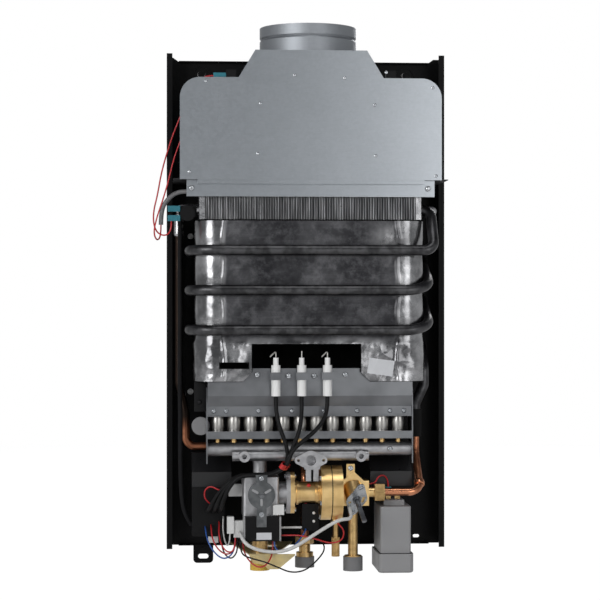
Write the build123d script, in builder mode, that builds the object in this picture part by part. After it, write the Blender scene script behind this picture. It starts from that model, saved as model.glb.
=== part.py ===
"""Tankless gas water heater with its front cover off, hung on a wall by its back tray.

Millimetres, +Z up. The wall face of the tray is the plane y = 0 and its centre is the origin.
The open front looks along -Y, and +X is to the right of someone who faces the heater.
"""

import os
from math import pi, radians, tan

from build123d import *

os.makedirs("parts", exist_ok=True)

# Sheet metal and fits
sheet = 1.0  # folded steel sheet
seat_gap = 0.15  # between a round piece and the face that it rests against
slip = 0.05  # radial clearance of a tube, rod or pin in its hole
lift = 0.3  # room left under a piece that stands over another

# Combustion chamber, the rounded box that the coil is brazed round
chamber_width = 276.0
chamber_depth = 104.0
chamber_height = 195.0
chamber_corner = 25.0
chamber_wall = 1.0
chamber_back_gap = 17.0  # from the tray's plate to the chamber
chamber_rim = 12.0  # flange at the top that carries the fin block
window_left = 70.0  # sight and ignition window in the front, from the centre line
window_right = 60.0
window_height = 45.0
window_corner = 4.0
window_flare = 12.0
vent_length = 34.0  # narrow slot to the left of the window
vent_width = 6.5
vent_x = -92.0
vent_rise = 19.5

# Heating coil and the tube passes through the fins
coil_od = 12.7
coil_wall = 0.8
coil_turns = 3
coil_pitch = 48.0
coil_drop = 37.0  # first turn below the top of the chamber
coil_tail_drop = 36.0  # open end of the coil below the chamber
fin_height = 42.0
fin_pitch = 3.1
fin_thickness = 0.7
fin_slit = 10.0  # depth of the gaps between fins, front and back
fin_side_inset = 7.0  # fin block inside the chamber's outline, each side
fin_front_inset = 2.0
end_plate = 2.5
end_plate_flange = 6.5
pass_pitch = 25.0  # between neighbouring tube passes
pass_count = 3
pass_front_inset = 27.0  # first pass behind the chamber's front
pass_rise = 13.0  # passes above the fins' lower edge
bend_reach = 15.0  # middle of a return bend beyond the end plate

# Flue hood, its front shield and the collar
hood_height = 160.0
hood_back_gap = 12.0
hood_front_reach = 11.0  # hood in front of the chamber
hood_side_reach = 5.0  # hood base beyond the fin block, each side
hood_side_height = 55.0  # upright part of the hood's sides
hood_neck_width = 124.0
relief_height = 34.0  # draught relief openings in the hood's sides
relief_depth = 74.0
skirt_height = 20.0
skirt_width = 298.0
skirt_setback = 5.0
shield_width = 314.0
shield_drop = 5.0  # lower edge of the shield above the hood's base
shield_shoulder_drop = 33.0  # shoulders below the neck
shield_shoulder_radius = 24.0
shield_neck_base = 174.0
shield_neck_width = 134.0
collar_od = 118.0
collar_wall = 0.8
collar_height = 33.0
collar_groove_rise = 18.5
collar_groove_depth = 1.4
collar_groove_half = 2.2
collar_foot = 2.0  # width of the collar's foot ring
baffle_width = 170.0
baffle_rise = 62.0
baffle_peak = 26.0
shelf_setback = 0.5  # divider shelf behind the shield

# Back tray
hot_pipe_od = 10.0
pipe_gap = 2.15  # hot pipe to coil
wall_gap = 2.5  # hot pipe to the tray's return flange
tray_flange = 7.0
tray_depth = 45.0
tray_lip = 10.0
tray_head = 6.0  # tray above the hood
corner_rise = 5.0  # raised corners of the plate
corner_width = 8.0
corner_slope = 7.0
hanger_radius = 4.5
hanger_spacing = 258.0
hanger_drop = 21.0  # holes below the top of the tray
hanger_ring_radius = 12.0
hanger_ring_width = 2.5
hanger_ring_height = 1.5
tab_width = 25.0
tab_drop = 23.0
tab_corner = 5.0
tab_inset = 46.0  # from the left edge of the tray to the middle of the tab
tab_slot_length = 13.0
tab_slot_width = 6.0
tab_slot_drop = 14.5
peg_slot_length = 8.0  # locating slot at the lower right
peg_slot_width = 4.0
peg_slot_inset = 30.0
peg_slot_rise = 9.0

# Burner
control_bay = 110.0  # from the tray's lower edge to the burner cradle
manifold_rise = 17.0
air_tray_rise = 22.0  # air tray above the manifold
venturi_height = 19.0
blade_height = 38.0
burner_gap = 3.0  # blades below the chamber
burner_count = 12
burner_pitch = 20.0
burner_shift = -1.5
blade_width = 9.0
blade_front = 8.0  # blades behind the panel's lower flange
venturi_radius = 7.6
venturi_bore = 6.4
cradle_width = 250.0
cradle_plate = 1.5
cradle_front = 10.0  # cradle behind the chamber's front
cradle_depth = 40.0
air_tray_lip = 9.0
rail_gap = 10.0  # rear rail in front of the chamber's back
panel_setback = 4.0  # upper part of the front panel behind the chamber's front
panel_overlap = 16.0  # panel behind the chamber's lower edge
panel_upright = 33.0
panel_slope_in = 8.0
panel_slope_drop = 13.0
panel_foot = 11.0
panel_toe = 3.0

# Gas manifold and its jets
manifold_radius = 8.5
branch_radius = 6.3
branch_left = 94.0
branch_right = 70.0
branch_front = 20.0  # branch in front of the main tube
branch_drop = 7.0
port_radius = 6.6
port_bore = 3.0
port_xs = (-80.0, 60.0)
port_reach = 12.0
flange_x = -1.0
flange_half = 15.0  # manifold flange, screw hole to centre
flange_radius = 11.4
flange_ear = 4.6
flange_bore = 6.2
flange_screw = 1.75
flange_thickness = 4.0
flange_reach = 19.0
flange_drop = 4.0
jet_radius = 3.4
jet_tip_radius = 2.2
jet_bore = 0.6
jet_sink = 4.0  # jet screwed into the manifold
jet_gap = 3.0  # jet below the air tray

# Ignition electrodes
electrode_xs = (-42.0, -11.0, 20.0)
electrode_radius = 5.5
electrode_length = 37.0
electrode_nose_radius = 3.2
electrode_nose = 9.0
electrode_rise = 4.0  # ceramic shoulder above the panel's top edge
pin_radius = 0.9
pin_length = 8.0
clamp_height = 9.0
clamp_drop = 9.0  # middle of the clamp below the panel's top edge
clamp_side = 8.0
bracket_left = 72.0
bracket_right = 48.0
bracket_height = 15.0

# Gas valve
valve_rise = 75.0  # axis of the valves above the tray's lower edge
valve_y = -110.0
gas_x = -60.0
gas_block_width = 44.0
gas_block_depth = 44.0
gas_block_height = 46.0
gas_block_drop = 26.0  # lower face below the axis
gas_boss_radius = 16.0
gas_boss_reach = 12.0
gas_arm_radius = 13.5
valve_flange = 5.0  # thickness of each of the two bolted flanges
valve_flange_width = 27.0
valve_flange_height = 50.0
flange_face_x = -24.0  # where the gas valve and the water valve meet
gas_plate = 1.5
gas_plate_tab = 12.0
gas_spindle_radius = 3.0
gas_spindle_reach = 8.0
solenoid_width = 41.0
solenoid_depth = 28.0
solenoid_height = 29.0

# Water valve
barrel_radius = 13.0
barrel_bore = 10.0
housing_x = 12.0  # left face of the diaphragm housing
housing_half = 13.0  # thickness of each half
housing_radius = 33.0
housing_wall = 4.0
housing_rim = 6.0
water_block_width = 32.0
water_block_height = 30.0
water_block_depth = 30.0
cold_x = 52.0
outlet_radius = 6.0
outlet_length = 8.0
nut_length = 12.0
nut_flats = 20.0
lug_width = 10.0
lug_height = 20.0
lug_thickness = 4.0
window_length = 16.0  # window under the barrel for the switch
window_width = 10.0
rod_radius = 3.0
rod_travel = 4.0
rod_cam_radius = 9.0
rod_cam_length = 4.0
rod_reach = 12.0  # rod past the flange face into the gas valve
diaphragm_radius = 25.0
diaphragm_thickness = 2.0
switch_width = 20.0
switch_depth = 16.0
switch_height = 32.0
button_radius = 1.6
button_x = -5.0
button_show = 3.6
spindle_plate_thickness = 1.5
spindle_plate_half_height = 26.0
spindle_plate_half_width = 13.0
spindle_boss_radius = 12.0
spindle_boss_length = 20.0
spindle_collar = 5.0
spindle_radius = 3.0
spindle_length = 36.0  # in front of the plate
spindle_flat = 22.0
spindle_direction = Vector(0.19, -0.73, -0.655).normalized()

# Pipe unions at the bottom and their caps
thread_radius = 10.48
thread_length = 16.0
union_bore = 7.5
union_floor = 4.0
union_low = 17.0  # lower end of a union below the tray
union_neck_radius = 6.0
hot_neck = 34.0
hot_x = -4.0
hot_y = -75.0
gas_y = -98.0
cap_wall = 1.3
cap_floor = 2.0
cap_skirt = 15.0
gas_cap_skirt = 9.0
drain_x = 31.0
drain_radius = 3.2
drain_length = 38.0
drain_boss_radius = 5.7
drain_boss = 8.0
drain_knob_radius = 4.9
drain_knob_length = 23.0
knurl_count = 16
knurl_radius = 0.6
bracket_plate = 1.5
bracket_plate_rise = 2.0
bracket_plate_left = -94.0
bracket_plate_right = -14.0
bracket_plate_reach = 126.0

# Copper pipes
cold_pipe_od = 9.5
pipe_wall = 0.8
cold_pipe_inset = 4.0  # upright part inside the chamber's side
insulation_radius = 7.5
insulation_length = 34.0

# Electrical pieces
wing_rise = 10.0  # support wings above the cradle's lower edge
wing_reach = 84.0
wing_flat = 60.0
wing_front = 18.0
wing_slope = 22.0
wing_left = (-142.0, -94.0)
wing_right = (76.0, 127.0)
wing_sheet = 1.2
module_width = 40.0
module_lip = 1.0  # igniter in front of the wing's edge
module_depth = wing_reach + module_lip
module_height = 60.0
battery_inset = 51.0  # battery box inside the tray's right edge
battery_width = 37.2
battery_depth = 75.0
battery_height = 56.0
battery_back_gap = 44.0
battery_wall = 1.4
cell_radius = 17.0
cell_room = 0.2  # round each cell
cell_length = 61.5
cell_nub_radius = 4.5
cell_nub = 1.2
lid_width = 43.0
lid_front_reach = 4.0  # lid in front of the box
lid_back_reach = 1.5
lid_height = 23.0
lid_wall = 2.0
lid_gap = 0.5
lid_corner = 6.0
hinge_back = 4.5  # hinge axis behind the box
hinge_drop = 2.5  # hinge axis below the lid's top
hinge_radius = 2.5
hinge_pin = 1.0
hinge_length = 16.0
ear_thickness = 3.0
contact_block_height = 6.5
contact_block_width = 25.0
contact_block_depth = 40.0
contact_width = 6.3
contact_height = 8.0
contact_thickness = 0.8
contact_spacing = 11.0
disc_radius = 11.0
disc_thickness = 8.0
disc_y = -60.0
disc_rise = 43.0  # centre of the pressure switch above the cradle's lower edge
disc_inset = 41.5
disc_stem = 4.0
screw_radius = 3.0
screw_height = 2.0
screw_slot = 0.9
dimple_radius = 2.2
thermostat_radius = 9.0
thermostat_depth = 8.0
thermostat_reach = 14.0  # middle of the thermostat beyond the end plate
terminal_pitch = 17.0
boot_length = 15.0
boot_width = 7.0
boot_depth = 6.0
flue_sensor_width = 12.0
flue_sensor_height = 14.0
flue_sensor_depth = 9.0

# Wires
lead_od = 5.0
cable_od = 4.2
sleeve_od = 5.5
wire_od = 1.8

# Places that follow from the sizes
chamber_half = chamber_width / 2
coil_x = chamber_half + seat_gap + coil_od / 2
hot_pipe_x = -(coil_x + coil_od / 2 + pipe_gap + hot_pipe_od / 2)
tray_half = -hot_pipe_x + hot_pipe_od / 2 + wall_gap + tray_flange

tray_height = (
    control_bay + manifold_rise + air_tray_rise + venturi_height + blade_height
    + burner_gap + chamber_height + fin_height + hood_height + tray_head
)
tray_bottom = -tray_height / 2
tray_top = tray_height / 2
cradle_low = tray_bottom + control_bay
manifold_z = cradle_low + manifold_rise
air_tray_z = manifold_z + air_tray_rise
blade_low = air_tray_z + venturi_height
blade_top = blade_low + blade_height
chamber_low = blade_top + burner_gap
chamber_top = chamber_low + chamber_height
fin_top = chamber_top + fin_height
hood_top = fin_top + hood_height

plate_front = -sheet
chamber_back = plate_front - chamber_back_gap
chamber_front = chamber_back - chamber_depth
chamber_mid = (chamber_front + chamber_back) / 2
hood_back = plate_front - hood_back_gap
hood_front = chamber_front - hood_front_reach
hood_mid = (hood_back + hood_front) / 2
fin_half = chamber_half - fin_side_inset
hood_half = fin_half + hood_side_reach

coil_front = chamber_front - seat_gap - coil_od / 2
coil_back = chamber_back + seat_gap + coil_od / 2
coil_corner = chamber_corner + seat_gap + coil_od / 2
coil_top = chamber_top - coil_drop
coil_low = coil_top - (coil_turns - 1) * coil_pitch
coil_tail_z = chamber_low - coil_tail_drop
pass_ys = [chamber_front + pass_front_inset + i * pass_pitch for i in range(pass_count)]
pass_z = chamber_top + pass_rise
pass_end = fin_half + end_plate

cradle_half = cradle_width / 2
cradle_y = chamber_front + cradle_front
panel_y = chamber_front + panel_setback
panel_top = chamber_low + panel_overlap
panel_foot_y = panel_y + panel_slope_in
jet_y = cradle_y + blade_front + venturi_radius - 1.0
rail_y = chamber_back - rail_gap
burner_xs = [burner_shift + (i - (burner_count - 1) / 2) * burner_pitch for i in range(burner_count)]

branch_y = jet_y - branch_front
branch_z = manifold_z - branch_drop
flange_z = branch_z - flange_drop
flange_y = branch_y - flange_reach

bracket_y = panel_y - sheet
electrode_y = bracket_y - electrode_radius - seat_gap
electrode_low = panel_top + electrode_rise - electrode_length
clamp_z = panel_top - clamp_drop

valve_z = tray_bottom + valve_rise
gas_block_front = valve_y - gas_block_depth / 2 + 4.0
gas_block_low = valve_z - gas_block_drop
gas_plate_y = gas_block_front - gas_boss_reach
housing_mid = housing_x + housing_half
housing_right = housing_mid + housing_half
block_right = housing_right + water_block_width
block_front = valve_y - water_block_depth / 2
nut_x = block_right + outlet_length
union_end = tray_bottom - union_low
cold_pipe_x = chamber_half - cold_pipe_inset
cold_pipe_y = chamber_mid + 8.0
battery_x = tray_half - battery_inset - battery_width / 2
battery_back = plate_front - battery_back_gap
battery_front = battery_back - battery_depth
battery_y = (battery_back + battery_front) / 2
battery_low = tray_bottom + 2.0
battery_top = battery_low + battery_height
lid_top = battery_low - lid_gap
wing_z = cradle_low + wing_rise
wing_low = wing_z - wing_slope - wing_front


def save(part, name):
    """Labels a finished piece and writes it as its own file."""
    part.label = name
    export_step(part, f"parts/{name}.step")


def folded(points, thickness):
    """Closed outline of a folded sheet: the bend line, and the same line moved sideways by the thickness."""
    line = [Vector(*p) for p in points]
    ways = [(b - a).normalized() for a, b in zip(line, line[1:])]
    normals = [Vector(-w.Y, w.X) for w in ways]
    moved = [line[0] + normals[0] * thickness]
    for before, after, point in zip(normals, normals[1:], line[1:]):
        moved.append(point + (before + after) * (thickness / (1 + before.dot(after))))
    moved.append(line[-1] + normals[-1] * thickness)
    return [(p.X, p.Y) for p in line + moved[::-1]]


def sheet_strip(plane, points, thickness, length):
    """A folded strip: its outline on a plane, extruded by its length."""
    with BuildPart() as strip:
        with BuildSketch(plane):
            with BuildLine():
                Polyline(*folded(points, thickness), close=True)
            make_face()
        extrude(amount=length)
    return strip.part


def bent_tube(points, bend_radii, od, wall=0.0):
    """A tube along straight runs joined by tangent arcs. No wall makes a solid rod."""
    with BuildPart() as tube:
        with BuildLine() as route:
            FilletPolyline(*points, radius=bend_radii)
        with BuildSketch(Plane(origin=route.line @ 0, z_dir=route.line % 0)):
            Circle(od / 2)
            if wall:
                Circle(od / 2 - wall, mode=Mode.SUBTRACT)
        sweep(path=route.line)
    return tube.part


# Back tray: the plate with its hanging holes and foot tab, the side walls and the lips
with BuildPart() as back_tray:
    with BuildSketch(Plane.XZ) as plate:
        with BuildLine():
            corner_in = tray_half - corner_width
            shoulder = tray_top - corner_rise
            Polyline(
                (-tray_half, tray_bottom), (tray_half, tray_bottom), (tray_half, tray_top),
                (corner_in, tray_top), (corner_in - corner_slope, shoulder),
                (corner_slope - corner_in, shoulder), (-corner_in, tray_top), (-tray_half, tray_top),
                close=True,
            )
        make_face()
        with Locations((-tray_half + tab_inset, tray_bottom - tab_drop / 2)):
            Rectangle(tab_width, tab_drop)
        fillet(plate.vertices().group_by(Axis.Y)[0], radius=tab_corner)
        with GridLocations(hanger_spacing, 1, 2, 1):
            with Locations((0, tray_top - hanger_drop)):
                Circle(hanger_radius, mode=Mode.SUBTRACT)
        with Locations((-tray_half + tab_inset, tray_bottom - tab_slot_drop)):
            SlotOverall(tab_slot_length, tab_slot_width, mode=Mode.SUBTRACT)
        with Locations((tray_half - peg_slot_inset, tray_bottom + peg_slot_rise)):
            SlotOverall(peg_slot_length, peg_slot_width, mode=Mode.SUBTRACT)
    extrude(amount=sheet)
    with BuildSketch(Plane.XZ.offset(sheet)):
        with GridLocations(hanger_spacing, 1, 2, 1):
            with Locations((0, tray_top - hanger_drop)):
                Circle(hanger_ring_radius)
                Circle(hanger_ring_radius - hanger_ring_width, mode=Mode.SUBTRACT)
    extrude(amount=hanger_ring_height)
    with BuildSketch(Plane.XY.offset(tray_bottom)):
        wall_line = [(-tray_half, 0), (-tray_half, -tray_depth), (tray_flange - tray_half, -tray_depth)]
        with BuildLine():
            Polyline(*folded(wall_line, sheet), close=True)
        make_face()
        mirror(about=Plane.YZ)
    extrude(amount=tray_height)
    with BuildSketch(Plane.XZ):
        with Locations((0, tray_bottom + sheet / 2), (0, shoulder - sheet / 2)):
            Rectangle(2 * (corner_in - corner_slope), sheet)
    extrude(amount=tray_lip)
save(back_tray.part, "back_tray")

# Flue hood: a folded box that narrows to the neck, with the skirt that it is screwed down by
with BuildPart() as hood_body:
    with BuildSketch(Plane.XZ.offset(-hood_back)):
        with BuildLine():
            neck = hood_neck_width / 2
            Polyline(
                (-hood_half, fin_top), (hood_half, fin_top), (hood_half, fin_top + hood_side_height),
                (neck, hood_top), (-neck, hood_top), (-hood_half, fin_top + hood_side_height),
                close=True,
            )
        make_face()
    extrude(amount=hood_back - hood_front)
    offset(amount=-sheet, openings=hood_body.faces().sort_by(Axis.Z)[0])
    with Locations((0, hood_mid, hood_top)):
        Cylinder(collar_od / 2 - collar_wall, 4 * sheet, mode=Mode.SUBTRACT)
    with Locations((0, hood_mid, fin_top + hood_side_height / 2)):
        Box(2 * hood_half + 2, relief_depth, relief_height, mode=Mode.SUBTRACT)
    skirt_y = hood_front + skirt_setback
    with Locations((0, skirt_y + sheet / 2, fin_top + shield_drop - skirt_height / 2)):
        Box(skirt_width, sheet, skirt_height)
    with Locations((0, (hood_front + skirt_y + sheet) / 2, fin_top + sheet / 2)):
        Box(2 * hood_half, skirt_setback + sheet, sheet)
save(hood_body.part, "hood_body")

# Flat shield in front of the hood
with BuildPart() as flue_shield:
    with BuildSketch(Plane.XZ.offset(-hood_front)) as shield_face:
        shield_half = shield_width / 2
        shield_low = fin_top + shield_drop
        shield_shoulder = hood_top - shield_shoulder_drop
        with BuildLine():
            Polyline(
                (-shield_half, shield_low), (shield_half, shield_low), (shield_half, shield_shoulder),
                (shield_neck_base / 2, shield_shoulder), (shield_neck_width / 2, hood_top),
                (-shield_neck_width / 2, hood_top), (-shield_neck_base / 2, shield_shoulder),
                (-shield_half, shield_shoulder),
                close=True,
            )
        make_face()
        shoulders = [
            shield_face.vertices().group_by(Axis.X)[side].sort_by(Axis.Y)[-1] for side in (0, -1)
        ]
        fillet(shoulders, radius=shield_shoulder_radius)
    extrude(amount=sheet)
save(flue_shield.part, "flue_shield")

# Collar for the flue pipe, with a rolled groove and a foot ring
with BuildPart() as flue_collar:
    with BuildSketch(Plane(origin=(0, hood_mid, hood_top), x_dir=(1, 0, 0), z_dir=(0, -1, 0))):
        outer = collar_od / 2
        inner = outer - collar_wall
        groove_low = collar_groove_rise - collar_groove_half
        groove_high = collar_groove_rise + collar_groove_half
        with BuildLine():
            Polyline(
                (inner, 0), (outer + collar_foot, 0), (outer + collar_foot, sheet), (outer, sheet),
                (outer, groove_low), (outer - collar_groove_depth, collar_groove_rise),
                (outer, groove_high), (outer, collar_height), (inner, collar_height),
                (inner, groove_high), (inner - collar_groove_depth, collar_groove_rise),
                (inner, groove_low),
                close=True,
            )
        make_face()
    revolve(axis=Axis((0, hood_mid, 0), (0, 0, 1)))
save(flue_collar.part, "flue_collar")

# Roof-shaped baffle across the inside of the hood, which turns a downdraught aside
baffle_z = fin_top + baffle_rise
baffle_line = [(-baffle_width / 2, baffle_z), (0, baffle_z + baffle_peak), (baffle_width / 2, baffle_z)]
flue_baffle = sheet_strip(
    Plane.XZ.offset(sheet - hood_back), baffle_line, sheet, hood_back - hood_front - 2 * sheet
)
save(flue_baffle, "flue_baffle")

# Divider shelf round the foot of the hood
with BuildPart() as divider_shelf:
    shelf_half = tray_half - tray_flange - shelf_setback
    shelf_reach = plate_front - hood_front - shelf_setback
    with BuildSketch(Plane.XY.offset(fin_top + shield_drop)):
        with Locations((0, plate_front - shelf_reach / 2)):
            Rectangle(2 * shelf_half, shelf_reach)
        hole_back = hood_back + lift
        with Locations((0, hole_back - shelf_reach / 2)):
            Rectangle(2 * (hood_half + lift), shelf_reach, mode=Mode.SUBTRACT)
    extrude(amount=sheet)
save(divider_shelf.part, "divider_shelf")

# Fin block: a comb of fins, slit from the front and from the back
with BuildPart() as fin_block:
    fin_count = int(2 * fin_half / fin_pitch)
    fin_front = chamber_front + fin_front_inset
    fin_back = chamber_back - fin_front_inset

    def comb(y_edge, y_root):
        """Points along one toothed side of the block, from left to right."""
        points = []
        for i in range(fin_count):
            middle = (i - (fin_count - 1) / 2) * fin_pitch
            low, high = middle - fin_thickness / 2, middle + fin_thickness / 2
            points += [(low, y_root), (low, y_edge), (high, y_edge), (high, y_root)]
        return [(-fin_half, y_root)] + points + [(fin_half, y_root)]

    with BuildSketch(Plane.XY.offset(chamber_top)):
        with BuildLine():
            front_edge = comb(fin_front, fin_front + fin_slit)
            back_edge = comb(fin_back, fin_back - fin_slit)
            Polyline(*front_edge, *back_edge[::-1], close=True)
        make_face()
    extrude(amount=fin_height)
    with Locations(*[(0, y, pass_z) for y in pass_ys]):
        Cylinder(coil_od / 2 + slip, chamber_width, rotation=(0, 90, 0), mode=Mode.SUBTRACT)
save(fin_block.part, "fin_block")

# End plates of the fin block, each folded round the front corner
with BuildPart() as fin_end_plates:
    fin_mid = chamber_top + fin_height / 2
    for side in (-1, 1):
        with Locations((side * (fin_half + end_plate / 2), chamber_mid, fin_mid)):
            Box(end_plate, chamber_depth, fin_height)
        flange_mid = side * (fin_half + end_plate - end_plate_flange / 2)
        with Locations((flange_mid, chamber_front + sheet / 2, fin_mid)):
            Box(end_plate_flange, sheet, fin_height)
    with Locations(*[(0, y, pass_z) for y in pass_ys]):
        Cylinder(coil_od / 2 + slip, chamber_width, rotation=(0, 90, 0), mode=Mode.SUBTRACT)
save(fin_end_plates.part, "fin_end_plates")

# Combustion chamber shell with the sight window and the vent slot in its front
with BuildPart() as combustion_shell:
    with BuildSketch(Plane.XY.offset(chamber_low)):
        with Locations((0, chamber_mid)):
            RectangleRounded(chamber_width, chamber_depth, chamber_corner)
            RectangleRounded(
                chamber_width - 2 * chamber_wall, chamber_depth - 2 * chamber_wall,
                chamber_corner - chamber_wall, mode=Mode.SUBTRACT,
            )
    extrude(amount=chamber_height)
    with BuildSketch(Plane.XY.offset(chamber_top - chamber_wall)):
        with Locations((0, chamber_mid)):
            RectangleRounded(chamber_width, chamber_depth, chamber_corner)
            Rectangle(chamber_width - 2 * chamber_rim, chamber_depth - 2 * chamber_rim, mode=Mode.SUBTRACT)
    extrude(amount=chamber_wall)
    with BuildSketch(Plane.XZ.offset(-chamber_front)) as window:
        with BuildLine():
            window_top = chamber_low + window_height
            flare_top = chamber_low + window_flare
            Polyline(
                (-window_left - window_flare, chamber_low), (-window_left, flare_top),
                (-window_left, window_top), (window_right, window_top), (window_right, flare_top),
                (window_right + window_flare, chamber_low),
                close=True,
            )
        make_face()
        fillet(window.vertices().group_by(Axis.Y)[-1], radius=window_corner)
        with Locations((vent_x, chamber_low + vent_rise)):
            SlotOverall(vent_length, vent_width)
    extrude(amount=-2 * chamber_wall, mode=Mode.SUBTRACT)
save(combustion_shell.part, "combustion_shell")

# Heating coil: from the first fin pass down to the front, round the chamber, and out at the right
coil_route = [
    (pass_end, pass_ys[0], pass_z),
    (pass_end + bend_reach, pass_ys[0], pass_z),
    (pass_end + bend_reach, coil_front, coil_top),
]
for turn in range(coil_turns):
    turn_z = coil_top - turn * coil_pitch
    if turn:
        coil_route.append((coil_x, coil_front, turn_z))
    coil_route += [(-coil_x, coil_front, turn_z), (-coil_x, coil_back, turn_z), (coil_x, coil_back, turn_z)]
coil_route += [
    (coil_x, cold_pipe_y, coil_low - coil_pitch),
    (coil_x, cold_pipe_y, chamber_low - coil_od / 2),
    (cold_pipe_x, cold_pipe_y, coil_tail_z + coil_od / 2),
    (cold_pipe_x, cold_pipe_y, coil_tail_z),
]
bend_tight = coil_od
coil_bends = [bend_tight] * 2 + [coil_corner] * (len(coil_route) - 7) + [bend_tight] * 3
heating_coil = bent_tube(coil_route, coil_bends, coil_od, coil_wall)
save(heating_coil, "heating_coil")

# Fin passes: straight through the fins, with a return bend at each end
bend_x = pass_end + bend_reach + coil_od / 2
pass_route = [(pass_end, pass_ys[0], pass_z)]
for row in range(pass_count - 1):
    side = -1 if row % 2 == 0 else 1
    pass_route += [(side * bend_x, pass_ys[row], pass_z), (side * bend_x, pass_ys[row + 1], pass_z)]
pass_route.append((hot_pipe_x, pass_ys[-1], pass_z))
pass_route.append((hot_pipe_x, pass_ys[-1], pass_z - 2 * coil_od))
pass_bend = pass_pitch / 2 - 0.1
pass_bends = [pass_bend] * (2 * (pass_count - 1)) + [coil_od]
fin_tubes = bent_tube(pass_route, pass_bends, coil_od, coil_wall)
save(fin_tubes, "fin_tubes")

# Hot pipe: down the left side, along under the burner, and down to the hot union
hot_turn_x = hot_pipe_x + 9.0
hot_turn_y = pass_ys[-1] - 3.0
union_neck_top = tray_bottom - union_low + hot_neck
hot_pipe = bent_tube(
    [
        (hot_pipe_x, pass_ys[-1], pass_z - 2 * coil_od),
        (hot_pipe_x, pass_ys[-1], blade_top),
        (hot_turn_x, hot_turn_y, blade_low),
        (hot_turn_x, hot_turn_y, manifold_z),
        (hot_x, hot_turn_y, manifold_z),
        (hot_x, hot_y, manifold_z - 36.0),
        (hot_x, hot_y, union_neck_top),
    ],
    [2 * hot_pipe_od, 2 * hot_pipe_od, 1.2 * hot_pipe_od, 1.2 * hot_pipe_od, 2 * hot_pipe_od],
    hot_pipe_od, pipe_wall,
)
save(hot_pipe, "hot_pipe")

# Cold pipe: from the union nut to the right, then back and up to the coil's tail
pipe_start = nut_x + nut_length / 2
cold_pipe = bent_tube(
    [
        (pipe_start, valve_y, valve_z),
        (cold_pipe_x, valve_y, valve_z),
        (cold_pipe_x, cold_pipe_y, valve_z + 45.0),
        (cold_pipe_x, cold_pipe_y, coil_tail_z),
    ],
    [1.5 * cold_pipe_od, 2 * cold_pipe_od],
    cold_pipe_od, pipe_wall,
)
save(cold_pipe, "cold_pipe")

with BuildPart() as pipe_insulation:
    with BuildSketch(Plane.XY.offset(coil_tail_z)):
        with Locations((cold_pipe_x, cold_pipe_y)):
            Circle(insulation_radius)
            Circle(cold_pipe_od / 2 + slip, mode=Mode.SUBTRACT)
    extrude(amount=-insulation_length)
save(pipe_insulation.part, "pipe_insulation")

# Burner front panel: upright, sloped in, then a foot with a toe
panel_half = cradle_half - cradle_plate
slope_top = panel_top - panel_upright
slope_low = slope_top - panel_slope_drop
panel_low = slope_low - panel_foot
panel_line = [
    (panel_y, panel_top), (panel_y, slope_top), (panel_foot_y, slope_low),
    (panel_foot_y, panel_low), (panel_foot_y - panel_toe, panel_low),
]
burner_front_panel = sheet_strip(Plane.YZ.offset(-panel_half), panel_line, sheet, 2 * panel_half)
save(burner_front_panel, "burner_front_panel")

# Burner cradle: two side plates, the air tray with a hole under each burner, and the rear rail
with BuildPart() as burner_cradle:
    tray_back = cradle_y + cradle_depth
    rail_top = blade_top - 4.0
    for x in (-cradle_half, cradle_half - cradle_plate):
        with BuildSketch(Plane.YZ.offset(x)):
            with BuildLine():
                Polyline(
                    (cradle_y, cradle_low), (cradle_y, slope_low), (cradle_y + 4.0, rail_top),
                    (rail_y, rail_top), (rail_y, blade_low), (tray_back, blade_low),
                    (tray_back, air_tray_z - 4.0), (cradle_y + 12.0, cradle_low),
                    close=True,
                )
            make_face()
        extrude(amount=cradle_plate)
    with BuildSketch(Plane.YZ.offset(-panel_half)):
        tray_line = [
            (tray_back, air_tray_z), (cradle_y, air_tray_z), (cradle_y, air_tray_z - air_tray_lip),
        ]
        with BuildLine():
            Polyline(*folded(tray_line, sheet), close=True)
        make_face()
    extrude(amount=2 * panel_half)
    with Locations(*[(x, jet_y, air_tray_z) for x in burner_xs]):
        Cylinder(venturi_bore, 4 * sheet, mode=Mode.SUBTRACT)
    with Locations((0, rail_y + sheet / 2, (rail_top + blade_low) / 2)):
        Box(cradle_width, sheet, rail_top - blade_low)
save(burner_cradle.part, "burner_cradle")

# Burner bars: each a slotted blade over a short venturi
with BuildPart() as burner_bars:
    blade_y = cradle_y + blade_front
    blade_depth = rail_y - blade_y
    for x in burner_xs:
        with Locations((x, blade_y + blade_depth / 2, (blade_low + blade_top) / 2)):
            Box(blade_width, blade_depth, blade_height)
        with Locations((x, blade_y + blade_depth / 2, blade_top)):
            Box(blade_width / 3, blade_depth - blade_width, blade_width, mode=Mode.SUBTRACT)
        with Locations((x, jet_y, air_tray_z + venturi_height / 2)):
            Cylinder(venturi_radius, venturi_height)
            Cylinder(venturi_bore, venturi_height, mode=Mode.SUBTRACT)
save(burner_bars.part, "burner_bars")

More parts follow.
